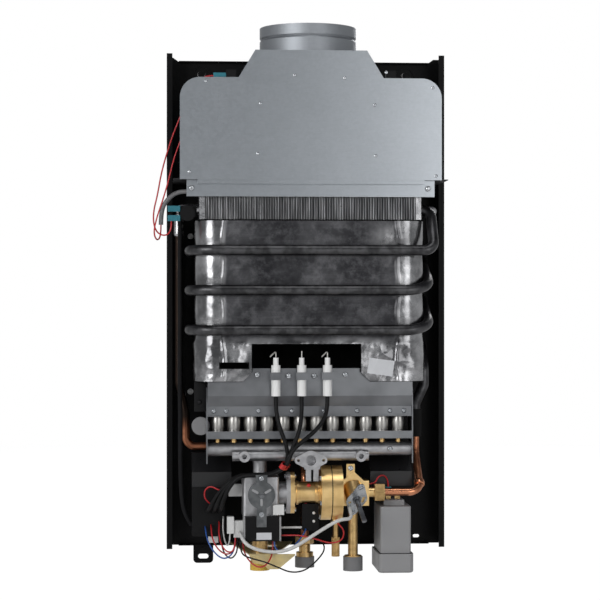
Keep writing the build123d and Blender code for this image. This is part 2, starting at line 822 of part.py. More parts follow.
# Gas manifold: the main tube with jet holes, the front branch, test ports, flange and feed neck
with BuildPart() as gas_manifold:
    with Locations((0, jet_y, manifold_z)):
        Cylinder(manifold_radius, 2 * panel_half, rotation=(0, 90, 0))
    with Locations(((branch_right - branch_left) / 2, branch_y, branch_z)):
        Cylinder(branch_radius, branch_left + branch_right, rotation=(0, 90, 0))
    web_xs = (*port_xs, -40.0, 30.0)
    with Locations(*[(x, (branch_y + jet_y) / 2, (branch_z + manifold_z) / 2) for x in web_xs]):
        Box(branch_radius, branch_front, branch_radius)
    with Locations(*[(x, branch_y - port_reach / 2, branch_z) for x in port_xs]):
        Cylinder(port_radius, port_reach + port_radius, rotation=(90, 0, 0))
    with BuildSketch(Plane.XZ.offset(-branch_y)):
        with Locations((flange_x, flange_z)):
            Circle(flange_radius - 2.0)
    extrude(amount=flange_reach)
    with BuildSketch(Plane.XZ.offset(-flange_y)):
        with Locations((flange_x, flange_z)):
            Circle(flange_radius)
            with Locations((-flange_half, 0), (flange_half, 0)):
                Circle(flange_ear)
        make_hull()
        with Locations((flange_x, flange_z)):
            Circle(flange_bore, mode=Mode.SUBTRACT)
            with Locations((-flange_half, 0), (flange_half, 0)):
                Circle(flange_screw, mode=Mode.SUBTRACT)
    extrude(amount=flange_thickness)
    with Locations((flange_x, flange_y, flange_z)):
        Cylinder(flange_bore, flange_reach, rotation=(90, 0, 0), mode=Mode.SUBTRACT)
    rib_top = flange_z - flange_radius / 2
    rib_low = valve_z + barrel_radius + 2.0
    with Locations(*[(flange_x + x, branch_y - 6.0, (rib_top + rib_low) / 2) for x in (-2.0, 7.0)]):
        Box(branch_radius, branch_radius, rib_top - rib_low)
    with Locations((flange_x + 2.5, branch_y - 6.0, rib_top - 3.0)):
        Box(3 * branch_radius, branch_radius, branch_radius)
    neck_low = gas_block_low + gas_block_height
    with Locations((gas_x, jet_y, (manifold_z + neck_low) / 2)):
        Cylinder(manifold_radius, manifold_z - neck_low)
    with Locations((0, jet_y, manifold_z)):
        Cylinder(manifold_radius - 2.5, 2 * panel_half - 8.0, rotation=(0, 90, 0), mode=Mode.SUBTRACT)
    with Locations(*[(x, branch_y - port_reach - port_radius / 2, branch_z) for x in port_xs]):
        Cylinder(port_bore, 2 * port_reach, rotation=(90, 0, 0), mode=Mode.SUBTRACT)
    jet_low = manifold_z + manifold_radius - jet_sink
    with Locations(*[(x, jet_y, jet_low + jet_sink) for x in burner_xs]):
        Cylinder(jet_radius + slip, 2 * jet_sink, mode=Mode.SUBTRACT)
save(gas_manifold.part, "gas_manifold")

# Gas jets, one under each burner
with BuildPart() as gas_jets:
    jet_top = air_tray_z - jet_gap
    jet_shoulder = (jet_low + jet_top) / 2 + 1.0
    for x in burner_xs:
        with Locations((x, jet_y, (jet_low + jet_shoulder) / 2)):
            Cylinder(jet_radius, jet_shoulder - jet_low)
        with Locations((x, jet_y, (jet_shoulder + jet_top) / 2)):
            Cylinder(jet_tip_radius, jet_top - jet_shoulder)
        with Locations((x, jet_y, (jet_low + jet_top) / 2)):
            Cylinder(jet_bore, jet_top - jet_low, mode=Mode.SUBTRACT)
save(gas_jets.part, "gas_jets")

# Electrode bracket: the flat plate on the panel and the clamp strip over the ceramics
with BuildPart() as electrode_bracket:
    with BuildSketch(Plane.XZ.offset(-panel_y)):
        with Locations(((bracket_right - bracket_left) / 2, panel_top - bracket_height / 2)):
            RectangleRounded(bracket_left + bracket_right, bracket_height, 2.0)
    extrude(amount=sheet)
    bridge_half = electrode_radius + 2 * seat_gap + sheet
    clamp_back = bracket_y - sheet
    clamp_front = electrode_y - electrode_radius - seat_gap - sheet
    clamp_line = [(electrode_xs[0] - bridge_half - clamp_side, clamp_back)]
    for x in electrode_xs:
        clamp_line += [
            (x - bridge_half, clamp_back), (x - bridge_half, clamp_front),
            (x + bridge_half, clamp_front), (x + bridge_half, clamp_back),
        ]
    clamp_line.append((electrode_xs[-1] + bridge_half + clamp_side, clamp_back))
    add(sheet_strip(Plane.XY.offset(clamp_z - clamp_height / 2), clamp_line, sheet, clamp_height))
save(electrode_bracket.part, "electrode_bracket")

# Electrode ceramics, stepped, with a hole in the nose for the pin
with BuildPart() as electrode_ceramics:
    shoulder_z = electrode_low + electrode_length
    nose_top = shoulder_z + electrode_nose
    pin_low = nose_top - electrode_nose / 2
    for x in electrode_xs:
        with Locations((x, electrode_y, electrode_low + electrode_length / 2)):
            Cylinder(electrode_radius, electrode_length)
        with Locations((x, electrode_y, shoulder_z + electrode_nose / 2)):
            Cylinder(electrode_nose_radius, electrode_nose)
        with Locations((x, electrode_y, nose_top)):
            Cylinder(pin_radius + slip, electrode_nose, mode=Mode.SUBTRACT)
save(electrode_ceramics.part, "electrode_ceramics")

# Electrode pins: the outer two are bent over, the middle one is straight
with BuildPart() as electrode_pins:
    pin_top = nose_top + pin_length
    for x, hook in zip(electrode_xs, (-7.0, 0.0, -7.0)):
        if hook:
            tip = (x + hook, electrode_y, pin_top + hook)
            bend = [(x, electrode_y, pin_low), (x, electrode_y, pin_top), tip]
            add(bent_tube(bend, [pin_radius * 1.2], 2 * pin_radius))
        else:
            with Locations((x, electrode_y, (pin_low + pin_top) / 2)):
                Cylinder(pin_radius, pin_top - pin_low)
save(electrode_pins.part, "electrode_pins")

# Support wings on the tray, left and right of the valves
wing_line = [
    (plate_front, wing_z), (-wing_flat, wing_z), (-wing_reach, wing_z - wing_slope), (-wing_reach, wing_low),
]
with BuildPart() as support_wings:
    for near_x, far_x in (wing_left, wing_right):
        add(sheet_strip(Plane.YZ.offset(near_x), wing_line, wing_sheet, far_x - near_x))
save(support_wings.part, "support_wings")

# Gas valve: block, front boss, arm with the bolted flange, and the bores for the spindle and the rod
with BuildPart() as gas_valve_body:
    block_back = gas_block_front + gas_block_depth
    with Locations((gas_x, (gas_block_front + block_back) / 2, gas_block_low + gas_block_height / 2)):
        Box(gas_block_width, gas_block_depth, gas_block_height)
    fillet(gas_valve_body.edges().filter_by(Axis.Z), radius=4.0)
    with BuildSketch(Plane.XZ.offset(-gas_block_front)):
        with Locations((gas_x, valve_z)):
            Circle(gas_boss_radius)
    extrude(amount=gas_boss_reach)
    arm_left = gas_x + gas_block_width / 2
    with BuildSketch(Plane.YZ.offset(arm_left)):
        with Locations((valve_y, valve_z)):
            Circle(gas_arm_radius)
    extrude(amount=flange_face_x - arm_left)
    with BuildSketch(Plane.YZ.offset(flange_face_x - valve_flange)):
        with Locations((valve_y, valve_z)):
            Ellipse(valve_flange_width / 2, valve_flange_height / 2)
    extrude(amount=valve_flange)
    with Locations((flange_face_x, valve_y, valve_z)):
        Cylinder(rod_radius + slip, 4 * rod_reach + 4 * rod_travel, rotation=(0, 90, 0), mode=Mode.SUBTRACT)
    with Locations((gas_x, gas_plate_y, valve_z)):
        Cylinder(gas_spindle_radius + slip, 4 * gas_boss_reach, rotation=(90, 0, 0), mode=Mode.SUBTRACT)
save(gas_valve_body.part, "gas_valve_body")

# Front plate of the gas valve: a disc with two tabs and three slots round the spindle
with BuildPart() as gas_valve_plate:
    with BuildSketch(Plane.XZ.offset(-gas_plate_y)):
        with Locations((gas_x, valve_z)):
            Circle(gas_boss_radius + 0.3)
        tab_top = valve_z + gas_boss_radius + 8.0
        tab_low = gas_block_low - gas_plate_tab
        with Locations((gas_x, (tab_top + valve_z) / 2)):
            Rectangle(gas_plate_tab + 2.0, tab_top - valve_z)
        with Locations((gas_x, (tab_low + valve_z) / 2)):
            Rectangle(gas_plate_tab, valve_z - tab_low)
        with Locations((gas_x, valve_z)):
            Circle(gas_spindle_radius + lift, mode=Mode.SUBTRACT)
            with PolarLocations(gas_boss_radius * 0.55, 3, start_angle=30):
                SlotOverall(9.0, 3.0, mode=Mode.SUBTRACT)
    extrude(amount=gas_plate)
save(gas_valve_plate.part, "gas_valve_plate")

# Gas control spindle: a round rod with a flat at its front end
with BuildPart() as gas_spindle:
    spindle_back = gas_block_front - 4.0
    spindle_front = gas_plate_y - gas_plate - gas_spindle_reach
    with Locations((gas_x, (spindle_back + spindle_front) / 2, valve_z)):
        Cylinder(gas_spindle_radius, spindle_back - spindle_front, rotation=(90, 0, 0))
    with Locations((gas_x, spindle_front, valve_z + gas_spindle_radius)):
        Box(3 * gas_spindle_radius, 2 * gas_spindle_reach, 1.5 * gas_spindle_radius, mode=Mode.SUBTRACT)
save(gas_spindle.part, "gas_spindle")

# Solenoid box under the gas valve
with BuildPart() as gas_solenoid:
    with Locations((gas_x + 1.0, gas_plate_y + solenoid_depth / 2, gas_block_low - solenoid_height / 2)):
        Box(solenoid_width, solenoid_depth, solenoid_height)
    fillet(gas_solenoid.edges().filter_by(Axis.Z), radius=1.5)
save(gas_solenoid.part, "gas_solenoid")

# Water valve body: flange, barrel with the switch window, and the left half of the diaphragm housing
with BuildPart() as water_valve_body:
    with BuildSketch(Plane.YZ.offset(flange_face_x)):
        with Locations((valve_y, valve_z)):
            Ellipse(valve_flange_width / 2, valve_flange_height / 2)
    extrude(amount=valve_flange)
    with BuildSketch(Plane.YZ.offset(flange_face_x)):
        with Locations((valve_y, valve_z)):
            Circle(barrel_radius)
    extrude(amount=housing_x - flange_face_x)
    with BuildSketch(Plane.YZ.offset(housing_x)):
        with Locations((valve_y, valve_z)):
            Circle(housing_radius)
    extrude(amount=housing_half)
    cavity_left = housing_x + housing_wall
    with BuildSketch(Plane.YZ.offset(cavity_left)):
        with Locations((valve_y, valve_z)):
            Circle(housing_radius - housing_rim)
    extrude(amount=housing_half - housing_wall, mode=Mode.SUBTRACT)
    with BuildSketch(Plane.YZ.offset(flange_face_x)):
        with Locations((valve_y, valve_z)):
            Circle(barrel_bore)
    extrude(amount=housing_x - housing_wall - flange_face_x, mode=Mode.SUBTRACT)
    with Locations((housing_x, valve_y, valve_z)):
        Cylinder(rod_radius + slip, 3 * housing_wall, rotation=(0, 90, 0), mode=Mode.SUBTRACT)
    with Locations((button_x, valve_y, valve_z - barrel_radius)):
        Box(window_length, window_width, barrel_radius, mode=Mode.SUBTRACT)
save(water_valve_body.part, "water_valve_body")

# Water valve block: the right half of the housing, the inlet block, its outlet, lug and spindle boss
spindle_seat = Vector(cold_x + 2.0, block_front - 10.0, valve_z - 6.0)
spindle_side = Vector(0, 0, 1).cross(spindle_direction).normalized()
spindle_plane = Plane(origin=spindle_seat, x_dir=spindle_side, z_dir=spindle_direction)
with BuildPart() as water_valve_block:
    with BuildSketch(Plane.YZ.offset(housing_mid)):
        with Locations((valve_y, valve_z)):
            Circle(housing_radius)
    extrude(amount=housing_half)
    with Locations(((housing_right + block_right) / 2, valve_y, valve_z)):
        Box(water_block_width, water_block_depth, water_block_height)
    with BuildSketch(spindle_plane):
        Circle(spindle_boss_radius)
    extrude(amount=-spindle_boss_length)
    with BuildSketch(Plane.YZ.offset(block_right)):
        with Locations((valve_y, valve_z)):
            Circle(outlet_radius)
    extrude(amount=outlet_length + nut_length / 2)
    block_top = valve_z + water_block_height / 2
    with Locations((cold_x - 4.0, block_front + lug_thickness, block_top + lug_height / 2)):
        Box(lug_width, lug_thickness, lug_height)
    with BuildSketch(Plane.XZ.offset(-block_front)):
        gusset = [(cold_x - 14.0, block_top), (cold_x + 12.0, block_top), (cold_x, block_top + 11.0)]
        with BuildLine():
            Polyline(*gusset, close=True)
        make_face()
    extrude(amount=-lug_thickness)
    boss_low = valve_z - housing_radius - drain_boss / 2
    with Locations((drain_x, valve_y, boss_low + drain_boss)):
        Cylinder(drain_boss_radius, 2 * drain_boss)
    with BuildSketch(Plane.YZ.offset(housing_mid)):
        with Locations((valve_y, valve_z)):
            Circle(housing_radius - housing_rim)
    extrude(amount=housing_half - housing_wall, mode=Mode.SUBTRACT)
    with BuildSketch(spindle_plane):
        Circle(spindle_radius + slip)
    extrude(amount=-spindle_boss_length, mode=Mode.SUBTRACT)
save(water_valve_block.part, "water_valve_block")

# Push rod with the cam that works the switch, and the diaphragm on its right end
cam_left = button_x + button_radius + rod_travel - 0.6
diaphragm_x = cavity_left + rod_travel + 1.0
rod_left = flange_face_x - rod_reach
with BuildPart() as push_rod:
    rod_right = diaphragm_x + diaphragm_thickness + 2.0
    with Locations(((rod_left + rod_right) / 2, valve_y, valve_z)):
        Cylinder(rod_radius, rod_right - rod_left, rotation=(0, 90, 0))
    with Locations((cam_left + rod_cam_length / 2, valve_y, valve_z)):
        Cylinder(rod_cam_radius, rod_cam_length, rotation=(0, 90, 0))
    with Locations((rod_right - 1.0, valve_y, valve_z)):
        Cylinder(2 * rod_radius, 2.0, rotation=(0, 90, 0))
save(push_rod.part, "push_rod")

with BuildPart() as diaphragm:
    with BuildSketch(Plane.YZ.offset(diaphragm_x)):
        with Locations((valve_y, valve_z)):
            Circle(diaphragm_radius)
            Circle(rod_radius + slip, mode=Mode.SUBTRACT)
    extrude(amount=diaphragm_thickness)
save(diaphragm.part, "diaphragm")

# Microswitch under the barrel, and its button
switch_top = valve_z - barrel_radius - lift
with BuildPart() as micro_switch:
    with Locations((0, valve_y, switch_top - switch_height / 2)):
        Box(switch_width, switch_depth, switch_height)
    fillet(micro_switch.edges().filter_by(Axis.Y), radius=1.5)
    with Locations((button_x, valve_y, switch_top)):
        Cylinder(button_radius + slip, switch_height / 2, mode=Mode.SUBTRACT)
save(micro_switch.part, "micro_switch")

with BuildPart() as switch_button:
    button_low = switch_top - switch_height / 4 + rod_travel / 2
    button_top = switch_top + button_show
    with Locations((button_x, valve_y, (button_low + button_top) / 2)):
        Cylinder(button_radius, button_top - button_low)
save(switch_button.part, "switch_button")

# Plate on the spindle boss, pointed at both ends, and the control spindle through it
with BuildPart() as spindle_plate:
    with BuildSketch(spindle_plane):
        Circle(spindle_plate_half_width)
        with Locations((0, spindle_plate_half_height - 5.0), (0, 5.0 - spindle_plate_half_height)):
            Circle(5.0)
        make_hull()
        Circle(spindle_radius + lift, mode=Mode.SUBTRACT)
        with Locations((8.0, 0)):
            SlotOverall(10.0, 3.5, rotation=90, mode=Mode.SUBTRACT)
        with Locations((-8.0, -4.0)):
            Circle(1.8, mode=Mode.SUBTRACT)
    extrude(amount=spindle_plate_thickness)
save(spindle_plate.part, "spindle_plate")

with BuildPart() as water_spindle:
    with BuildSketch(spindle_plane.offset(2.0 - spindle_boss_length)):
        Circle(spindle_radius)
    extrude(amount=spindle_boss_length - 2.0 + spindle_length)
    with BuildSketch(spindle_plane.offset(spindle_plate_thickness + lift)):
        Circle(spindle_collar)
    extrude(amount=2.0)
    with BuildSketch(spindle_plane.offset(spindle_length)):
        with Locations((0, spindle_radius)):
            Rectangle(3 * spindle_radius, 1.4 * spindle_radius)
    extrude(amount=-spindle_flat, mode=Mode.SUBTRACT)
save(water_spindle.part, "water_spindle")

# Hexagon union nut on the outlet of the water valve
with BuildPart() as union_nut:
    with BuildSketch(Plane.YZ.offset(nut_x)):
        with Locations((valve_y, valve_z)):
            RegularPolygon(nut_flats / 2, 6, major_radius=False)
            Circle(outlet_radius + slip, mode=Mode.SUBTRACT)
    extrude(amount=nut_length / 2)
    with BuildSketch(Plane.YZ.offset(pipe_start)):
        with Locations((valve_y, valve_z)):
            RegularPolygon(nut_flats / 2, 6, major_radius=False)
            Circle(cold_pipe_od / 2 + slip, mode=Mode.SUBTRACT)
    extrude(amount=nut_length / 2)
save(union_nut.part, "union_nut")

# Pipe unions at the bottom: each a threaded end below a neck
cold_neck_top = valve_z - water_block_height / 2
with BuildPart() as pipe_unions:
    for x, y, top, radius in (
        (cold_x, valve_y, cold_neck_top, union_neck_radius),
        (hot_x, hot_y, union_neck_top, union_neck_radius + 1.0),
        (gas_x, gas_y, gas_block_low, thread_radius - 1.0),
    ):
        with Locations((x, y, union_end + thread_length / 2)):
            Cylinder(thread_radius, thread_length)
        with Locations((x, y, (union_end + thread_length + top) / 2)):
            Cylinder(radius, top - union_end - thread_length)
        with Locations((x, y, union_end)):
            Cylinder(union_bore, 2 * thread_length - 2 * union_floor, mode=Mode.SUBTRACT)
save(pipe_unions.part, "pipe_unions")

# Push-on caps over the threads
for name, x, y, skirt in (
    ("cold_cap", cold_x, valve_y, cap_skirt),
    ("hot_cap", hot_x, hot_y, cap_skirt - 4.0),
    ("gas_cap", gas_x, gas_y, gas_cap_skirt),
):
    with BuildPart() as cap:
        cap_low = union_end - lift - cap_floor
        cap_inner = thread_radius + slip
        with Locations((x, y, cap_low + (cap_floor + skirt) / 2)):
            Cylinder(cap_inner + cap_wall, cap_floor + skirt)
        with Locations((x, y, cap_low + cap_floor + skirt / 2)):
            Cylinder(cap_inner, skirt, mode=Mode.SUBTRACT)
    save(cap.part, name)

# Drain tube under the housing and the knob on it
with BuildPart() as drain_tube:
    drain_low = boss_low - drain_length
    with Locations((drain_x, valve_y, (boss_low + drain_low) / 2)):
        Cylinder(drain_radius, drain_length)
        Cylinder(drain_radius - 1.2, drain_length, mode=Mode.SUBTRACT)
save(drain_tube.part, "drain_tube")

with BuildPart() as drain_knob:
    knob_low = drain_low - lift - cap_floor
    with Locations((drain_x, valve_y, knob_low + drain_knob_length / 2)):
        Cylinder(drain_knob_radius, drain_knob_length)
    with Locations((drain_x, valve_y, knob_low + cap_floor + drain_knob_length / 2)):
        Cylinder(drain_radius + slip, drain_knob_length, mode=Mode.SUBTRACT)
    with Locations((drain_x, valve_y, knob_low + drain_knob_length / 2)):
        with PolarLocations(drain_knob_radius, knurl_count):
            Cylinder(knurl_radius, drain_knob_length, mode=Mode.SUBTRACT)
save(drain_knob.part, "drain_knob")

# Pipe bracket: a plated plate from the tray to the gas union
with BuildPart() as pipe_bracket:
    with BuildSketch(Plane.XY.offset(tray_bottom + bracket_plate_rise)):
        with BuildLine():
            Polyline(
                (bracket_plate_left, plate_front), (bracket_plate_right, plate_front),
                (gas_x + 18.0, -bracket_plate_reach), (gas_x - 14.0, -bracket_plate_reach),
                close=True,
            )
        make_face()
        with Locations((gas_x, gas_y)):
            Circle(thread_radius - 1.0 + slip, mode=Mode.SUBTRACT)
        with Locations((gas_x - 8.0, -45.0), (gas_x + 16.0, -45.0)):
            Circle(8.0, mode=Mode.SUBTRACT)
    extrude(amount=bracket_plate)
save(pipe_bracket.part, "pipe_bracket")

# Igniter module under the left wing
with BuildPart() as igniter_module:
    module_x = wing_left[0] + module_width / 2
    with Locations((module_x, plate_front - module_depth / 2, wing_low - module_height / 2)):
        Box(module_width, module_depth, module_height)
    fillet(igniter_module.edges().filter_by(Axis.Y), radius=2.0)
save(igniter_module.part, "igniter_module")

# Pressure switch: a disc on a stem
with BuildPart() as pressure_switch:
    disc_x = -tray_half + disc_inset
    disc_z = cradle_low + disc_rise
    with BuildSketch(Plane.XZ.offset(-plate_front)):
        with Locations((disc_x, disc_z)):
            Circle(disc_stem)
    extrude(amount=plate_front - disc_y)
    with BuildSketch(Plane.XZ.offset(-disc_y)):
        with Locations((disc_x, disc_z)):
            Circle(disc_radius)
    extrude(amount=disc_thickness)
save(pressure_switch.part, "pressure_switch")

# Battery box, open below, with the contact block, the rear rib and the hinge ears
hinge_y = battery_back + hinge_back
hinge_z = lid_top - hinge_drop
with BuildPart() as battery_box:
    with Locations((battery_x, battery_y, battery_low + battery_height / 2)):
        Box(battery_width, battery_depth, battery_height)
    fillet(battery_box.edges().filter_by(Axis.Z), radius=3.0)
    with Locations((battery_x, battery_y, battery_low + (battery_height - battery_wall) / 2)):
        Box(
            battery_width - 2 * battery_wall, battery_depth - 2 * battery_wall,
            battery_height - battery_wall, mode=Mode.SUBTRACT,
        )
    with Locations((battery_x, battery_y, battery_top + contact_block_height / 2)):
        Box(contact_block_width, contact_block_depth, contact_block_height)
    with Locations((battery_x, (battery_back + plate_front) / 2, battery_low + battery_height / 2)):
        Box(battery_width / 2, battery_back_gap, battery_height / 3)
    for side in (-1, 1):
        ear_x = battery_x + side * (hinge_length / 2 + lift + ear_thickness / 2)
        with BuildSketch(Plane.YZ.offset(ear_x - ear_thickness / 2)):
            with Locations((hinge_y, hinge_z)):
                Circle(hinge_radius)
            with Locations((hinge_y, (hinge_z + battery_low + 6.0) / 2)):
                Rectangle(2 * hinge_radius, battery_low + 6.0 - hinge_z)
            with Locations(((battery_back + hinge_y) / 2, battery_low + 4.0)):
                Rectangle(hinge_back, 4.0)
        extrude(amount=ear_thickness)
    with Locations((battery_x, hinge_y, hinge_z)):
        Cylinder(hinge_pin, hinge_length + 2 * lift + ear_thickness, rotation=(0, 90, 0))
save(battery_box.part, "battery_box")

# Battery lid: a rounded tray with a knuckle on the hinge pin
with BuildPart() as battery_lid:
    lid_front = battery_front - lid_front_reach
    lid_back = battery_back + lid_back_reach
    lid_depth = lid_back - lid_front
    lid_mid = (lid_front + lid_back) / 2
    with Locations((battery_x, lid_mid, lid_top - lid_height / 2)):
        Box(lid_width, lid_depth, lid_height)
    fillet(battery_lid.edges().filter_by(Axis.Z), radius=lid_corner)
    fillet(battery_lid.faces().sort_by(Axis.Z)[0].edges(), radius=lid_corner / 2)
    with Locations((battery_x, lid_mid, lid_top - (lid_height - lid_wall) / 2)):
        Box(lid_width - 2 * lid_wall, lid_depth - 2 * lid_wall, lid_height - lid_wall, mode=Mode.SUBTRACT)
    for side in (-1, 1):
        ear_x = battery_x + side * (hinge_length / 2 + lift + ear_thickness / 2)
        with Locations((ear_x, hinge_y, hinge_z)):
            Cylinder(hinge_back, ear_thickness + 2 * lift, rotation=(0, 90, 0), mode=Mode.SUBTRACT)
    with Locations((battery_x, hinge_y, hinge_z)):
        Cylinder(hinge_radius, hinge_length, rotation=(0, 90, 0))
    with Locations((battery_x, (lid_back + hinge_y) / 2, hinge_z)):
        Box(hinge_length, hinge_y - lid_back, hinge_radius)
    with Locations((battery_x, hinge_y, hinge_z)):
        Cylinder(hinge_pin + slip, hinge_length, rotation=(0, 90, 0), mode=Mode.SUBTRACT)
save(battery_lid.part, "battery_lid")

# Battery cells and the two contact tabs on the box
with BuildPart() as battery_cells:
    cell_top = battery_top - battery_wall - cell_nub
    for side in (-1, 1):
        cell_y = battery_y + side * (cell_radius + cell_room)
        with Locations((battery_x, cell_y, cell_top - cell_length / 2)):
            Cylinder(cell_radius, cell_length)
        with Locations((battery_x, cell_y, cell_top + cell_nub / 2)):
            Cylinder(cell_nub_radius, cell_nub)
save(battery_cells.part, "battery_cells")

with BuildPart() as battery_contacts:
    contact_low = battery_top + contact_block_height
    contact_y = battery_y - 6.0
    for side in (-1, 1):
        contact_mid = (battery_x + side * contact_spacing / 2, contact_y, contact_low + contact_height / 2)
        with Locations(contact_mid):
            Box(contact_width, contact_thickness, contact_height)
save(battery_contacts.part, "battery_contacts")


def facing(x, y, z):
    """A plane at a point, looking to the front."""
    return Plane(origin=(x, y, z), x_dir=(1, 0, 0), z_dir=(0, -1, 0))


# Screws: pan heads with a slot, and the smaller dimples along the foot of the burner panel
clamp_gaps = [(a + b) / 2 for a, b in zip(electrode_xs, electrode_xs[1:])]
screw_planes = [
    facing(-skirt_width / 2 + 6.0, skirt_y, fin_top - skirt_height / 4),
    facing(skirt_width / 2 - 8.0, skirt_y, fin_top - skirt_height / 4),
    facing(-bracket_left + 8.0, bracket_y, panel_top - bracket_height / 2),
    facing(bracket_right - 6.0, bracket_y, panel_top - bracket_height / 2),
    facing(gas_x, gas_plate_y - gas_plate, valve_z + gas_boss_radius + 4.0),
    facing(gas_x, gas_plate_y - gas_plate, gas_block_low + 3.0),
    facing(cold_x - 4.0, block_front + lug_thickness / 2, block_top + lug_height - 5.0),
    facing(panel_half - 26.0, jet_y - manifold_radius, manifold_z),
]
screw_planes += [facing(x, clamp_back, clamp_z) for x in clamp_gaps]
plate_end = spindle_plate_half_height - 5.0
screw_planes += [
    Plane(
        origin=spindle_plane.from_local_coords((0, v, spindle_plate_thickness)),
        x_dir=spindle_side, z_dir=spindle_direction,
    )
    for v in (plate_end, -plate_end)
]
dimple_planes = [
    facing(x, panel_foot_y, slope_low - panel_foot / 2)
    for x in (-116.0, -101.0, -62.0, -22.0, 17.0, 57.0, 97.0, 114.0)
]
with BuildPart() as sheet_screws:
    for plane in screw_planes:
        with BuildSketch(plane):
            Circle(screw_radius)
        extrude(amount=screw_height)
        with BuildSketch(plane.offset(screw_height)):
            Rectangle(3 * screw_radius, screw_slot, rotation=35)
        extrude(amount=-screw_height / 2, mode=Mode.SUBTRACT)
    for plane in dimple_planes:
        with BuildSketch(plane):
            Circle(dimple_radius)
        extrude(amount=screw_height / 2)
    for side in (-1, 1):
        bolt_z = valve_z + side * valve_flange_height * 0.4
        with BuildSketch(Plane.YZ.offset(flange_face_x - valve_flange)):
            with Locations((valve_y, bolt_z)):
                RegularPolygon(screw_radius, 6)
        extrude(amount=-screw_height)
        with BuildSketch(Plane.YZ.offset(flange_face_x + valve_flange)):
            with Locations((valve_y, bolt_z)):
                RegularPolygon(screw_radius, 6)
        extrude(amount=screw_height)
save(sheet_screws.part, "sheet_screws")

# Thermostats: the disc on the left return bend, and the sensor blocks behind the shield
thermostat_x = -pass_end - thermostat_reach
thermostat_back = pass_ys[0] - coil_od / 2 - seat_gap
thermostat_front = thermostat_back - 2 * sheet - thermostat_depth
thermostat_z = pass_z - terminal_pitch / 3
terminal_y = thermostat_front + thermostat_depth / 2
sensor_x = hood_neck_width / 2 + 28.0 + flue_sensor_width / 2
sensor_z = shield_shoulder + 2.0
with BuildPart() as thermostats:
    with BuildSketch(Plane.XZ.offset(-thermostat_back)):
        with Locations((thermostat_x, thermostat_z + 3.0)):
            Rectangle(2 * thermostat_radius + 4.0, thermostat_radius + 4.0)
    extrude(amount=2 * sheet)
    with BuildSketch(Plane.XZ.offset(2 * sheet - thermostat_back)):
        with Locations((thermostat_x, thermostat_z)):
            Circle(thermostat_radius)
    extrude(amount=thermostat_depth)
    for side in (-1, 1):
        terminal_z = thermostat_z + side * terminal_pitch / 3
        with Locations((thermostat_x - thermostat_radius / 2, terminal_y, terminal_z)):
            Box(thermostat_radius, sheet, boot_width - 2.0)
    with Locations(*[(side * sensor_x, hood_front + flue_sensor_depth / 2, sensor_z) for side in (-1, 1)]):
        Box(flue_sensor_width, flue_sensor_depth, flue_sensor_height)
save(thermostats.part, "thermostats")

# Soft boots over the wire terminals
boot_right = thermostat_x - thermostat_radius
boot_zs = [thermostat_z + side * terminal_pitch / 3 for side in (-1, 1)]
boot_left = boot_right - boot_length
sensor_left = -sensor_x - flue_sensor_width / 2
contact_x = battery_x - contact_spacing / 2
contact_top = contact_low + contact_height
with BuildPart() as terminal_boots:
    with Locations(*[((boot_left + boot_right) / 2, terminal_y, z) for z in boot_zs]):
        Box(boot_length, boot_depth, boot_width)
    with Locations((sensor_left - boot_length / 2, hood_front + flue_sensor_depth / 2, sensor_z)):
        Box(boot_length, boot_depth, boot_width)
    with Locations((contact_x, contact_y, contact_top + boot_width / 2)):
        Box(boot_width, boot_depth, boot_width)
save(terminal_boots.part, "terminal_boots")

# White wire connectors beside the gas valve, the solenoid and the igniter module
block_left = gas_x - gas_block_width / 2
solenoid_left = gas_x + 1.0 - solenoid_width / 2
module_low = wing_low - module_height
connector_low = gas_block_low - 26.0
with BuildPart() as wire_connectors:
    with Locations((block_left - 8.0, valve_y + 4.0, valve_z + 3.0)):
        Box(16.0, 12.0, 14.0)
    with Locations((arm_left - 1.5, gas_block_front - 5.0, valve_z - 18.0)):
        Box(13.0, 10.0, 12.0)
    with Locations((solenoid_left - 6.5, valve_y - 10.0, connector_low + 10.0)):
        Box(13.0, 10.0, 20.0)
    with Locations((solenoid_left - 17.0, valve_y - 13.0, connector_low + 15.0)):
        Box(8.0, 10.0, 20.0)
    with Locations((module_x + 6.0, plate_front - module_depth + 11.0, module_low - 4.0)):
        Box(12.0, 18.0, 8.0)
save(wire_connectors.part, "wire_connectors")


def cord(name, points, od):
    """A round wire: each arc takes 0.45 of the shorter run at its corner on both sides."""
    stops = [Vector(*p) for p in points]
    runs = [b - a for a, b in zip(stops, stops[1:])]
    radii = [
        0.45 * min(a.length, b.length) / tan(radians(a.get_angle(b)) / 2)
        for a, b in zip(runs, runs[1:])
    ]
    wire = bent_tube(points, radii, od)
    length = wire.volume / (pi * od**2 / 4)
    longest = max(run.length for run in runs)
    print(f"{name}: length {length:.0f}, smallest bend {min(radii):.1f}, longest run {longest:.0f}")
    return wire


def bay(x, y, z):
    """A point in the control bay, its height measured from the lower edge of the tray."""
    return (x, y, tray_bottom + z)


def left(x, y, z):
    """A point at the left side: from the tray's left edge, the chamber's front and the chamber's top."""
    return (x - tray_half, chamber_front + y, chamber_top + z)


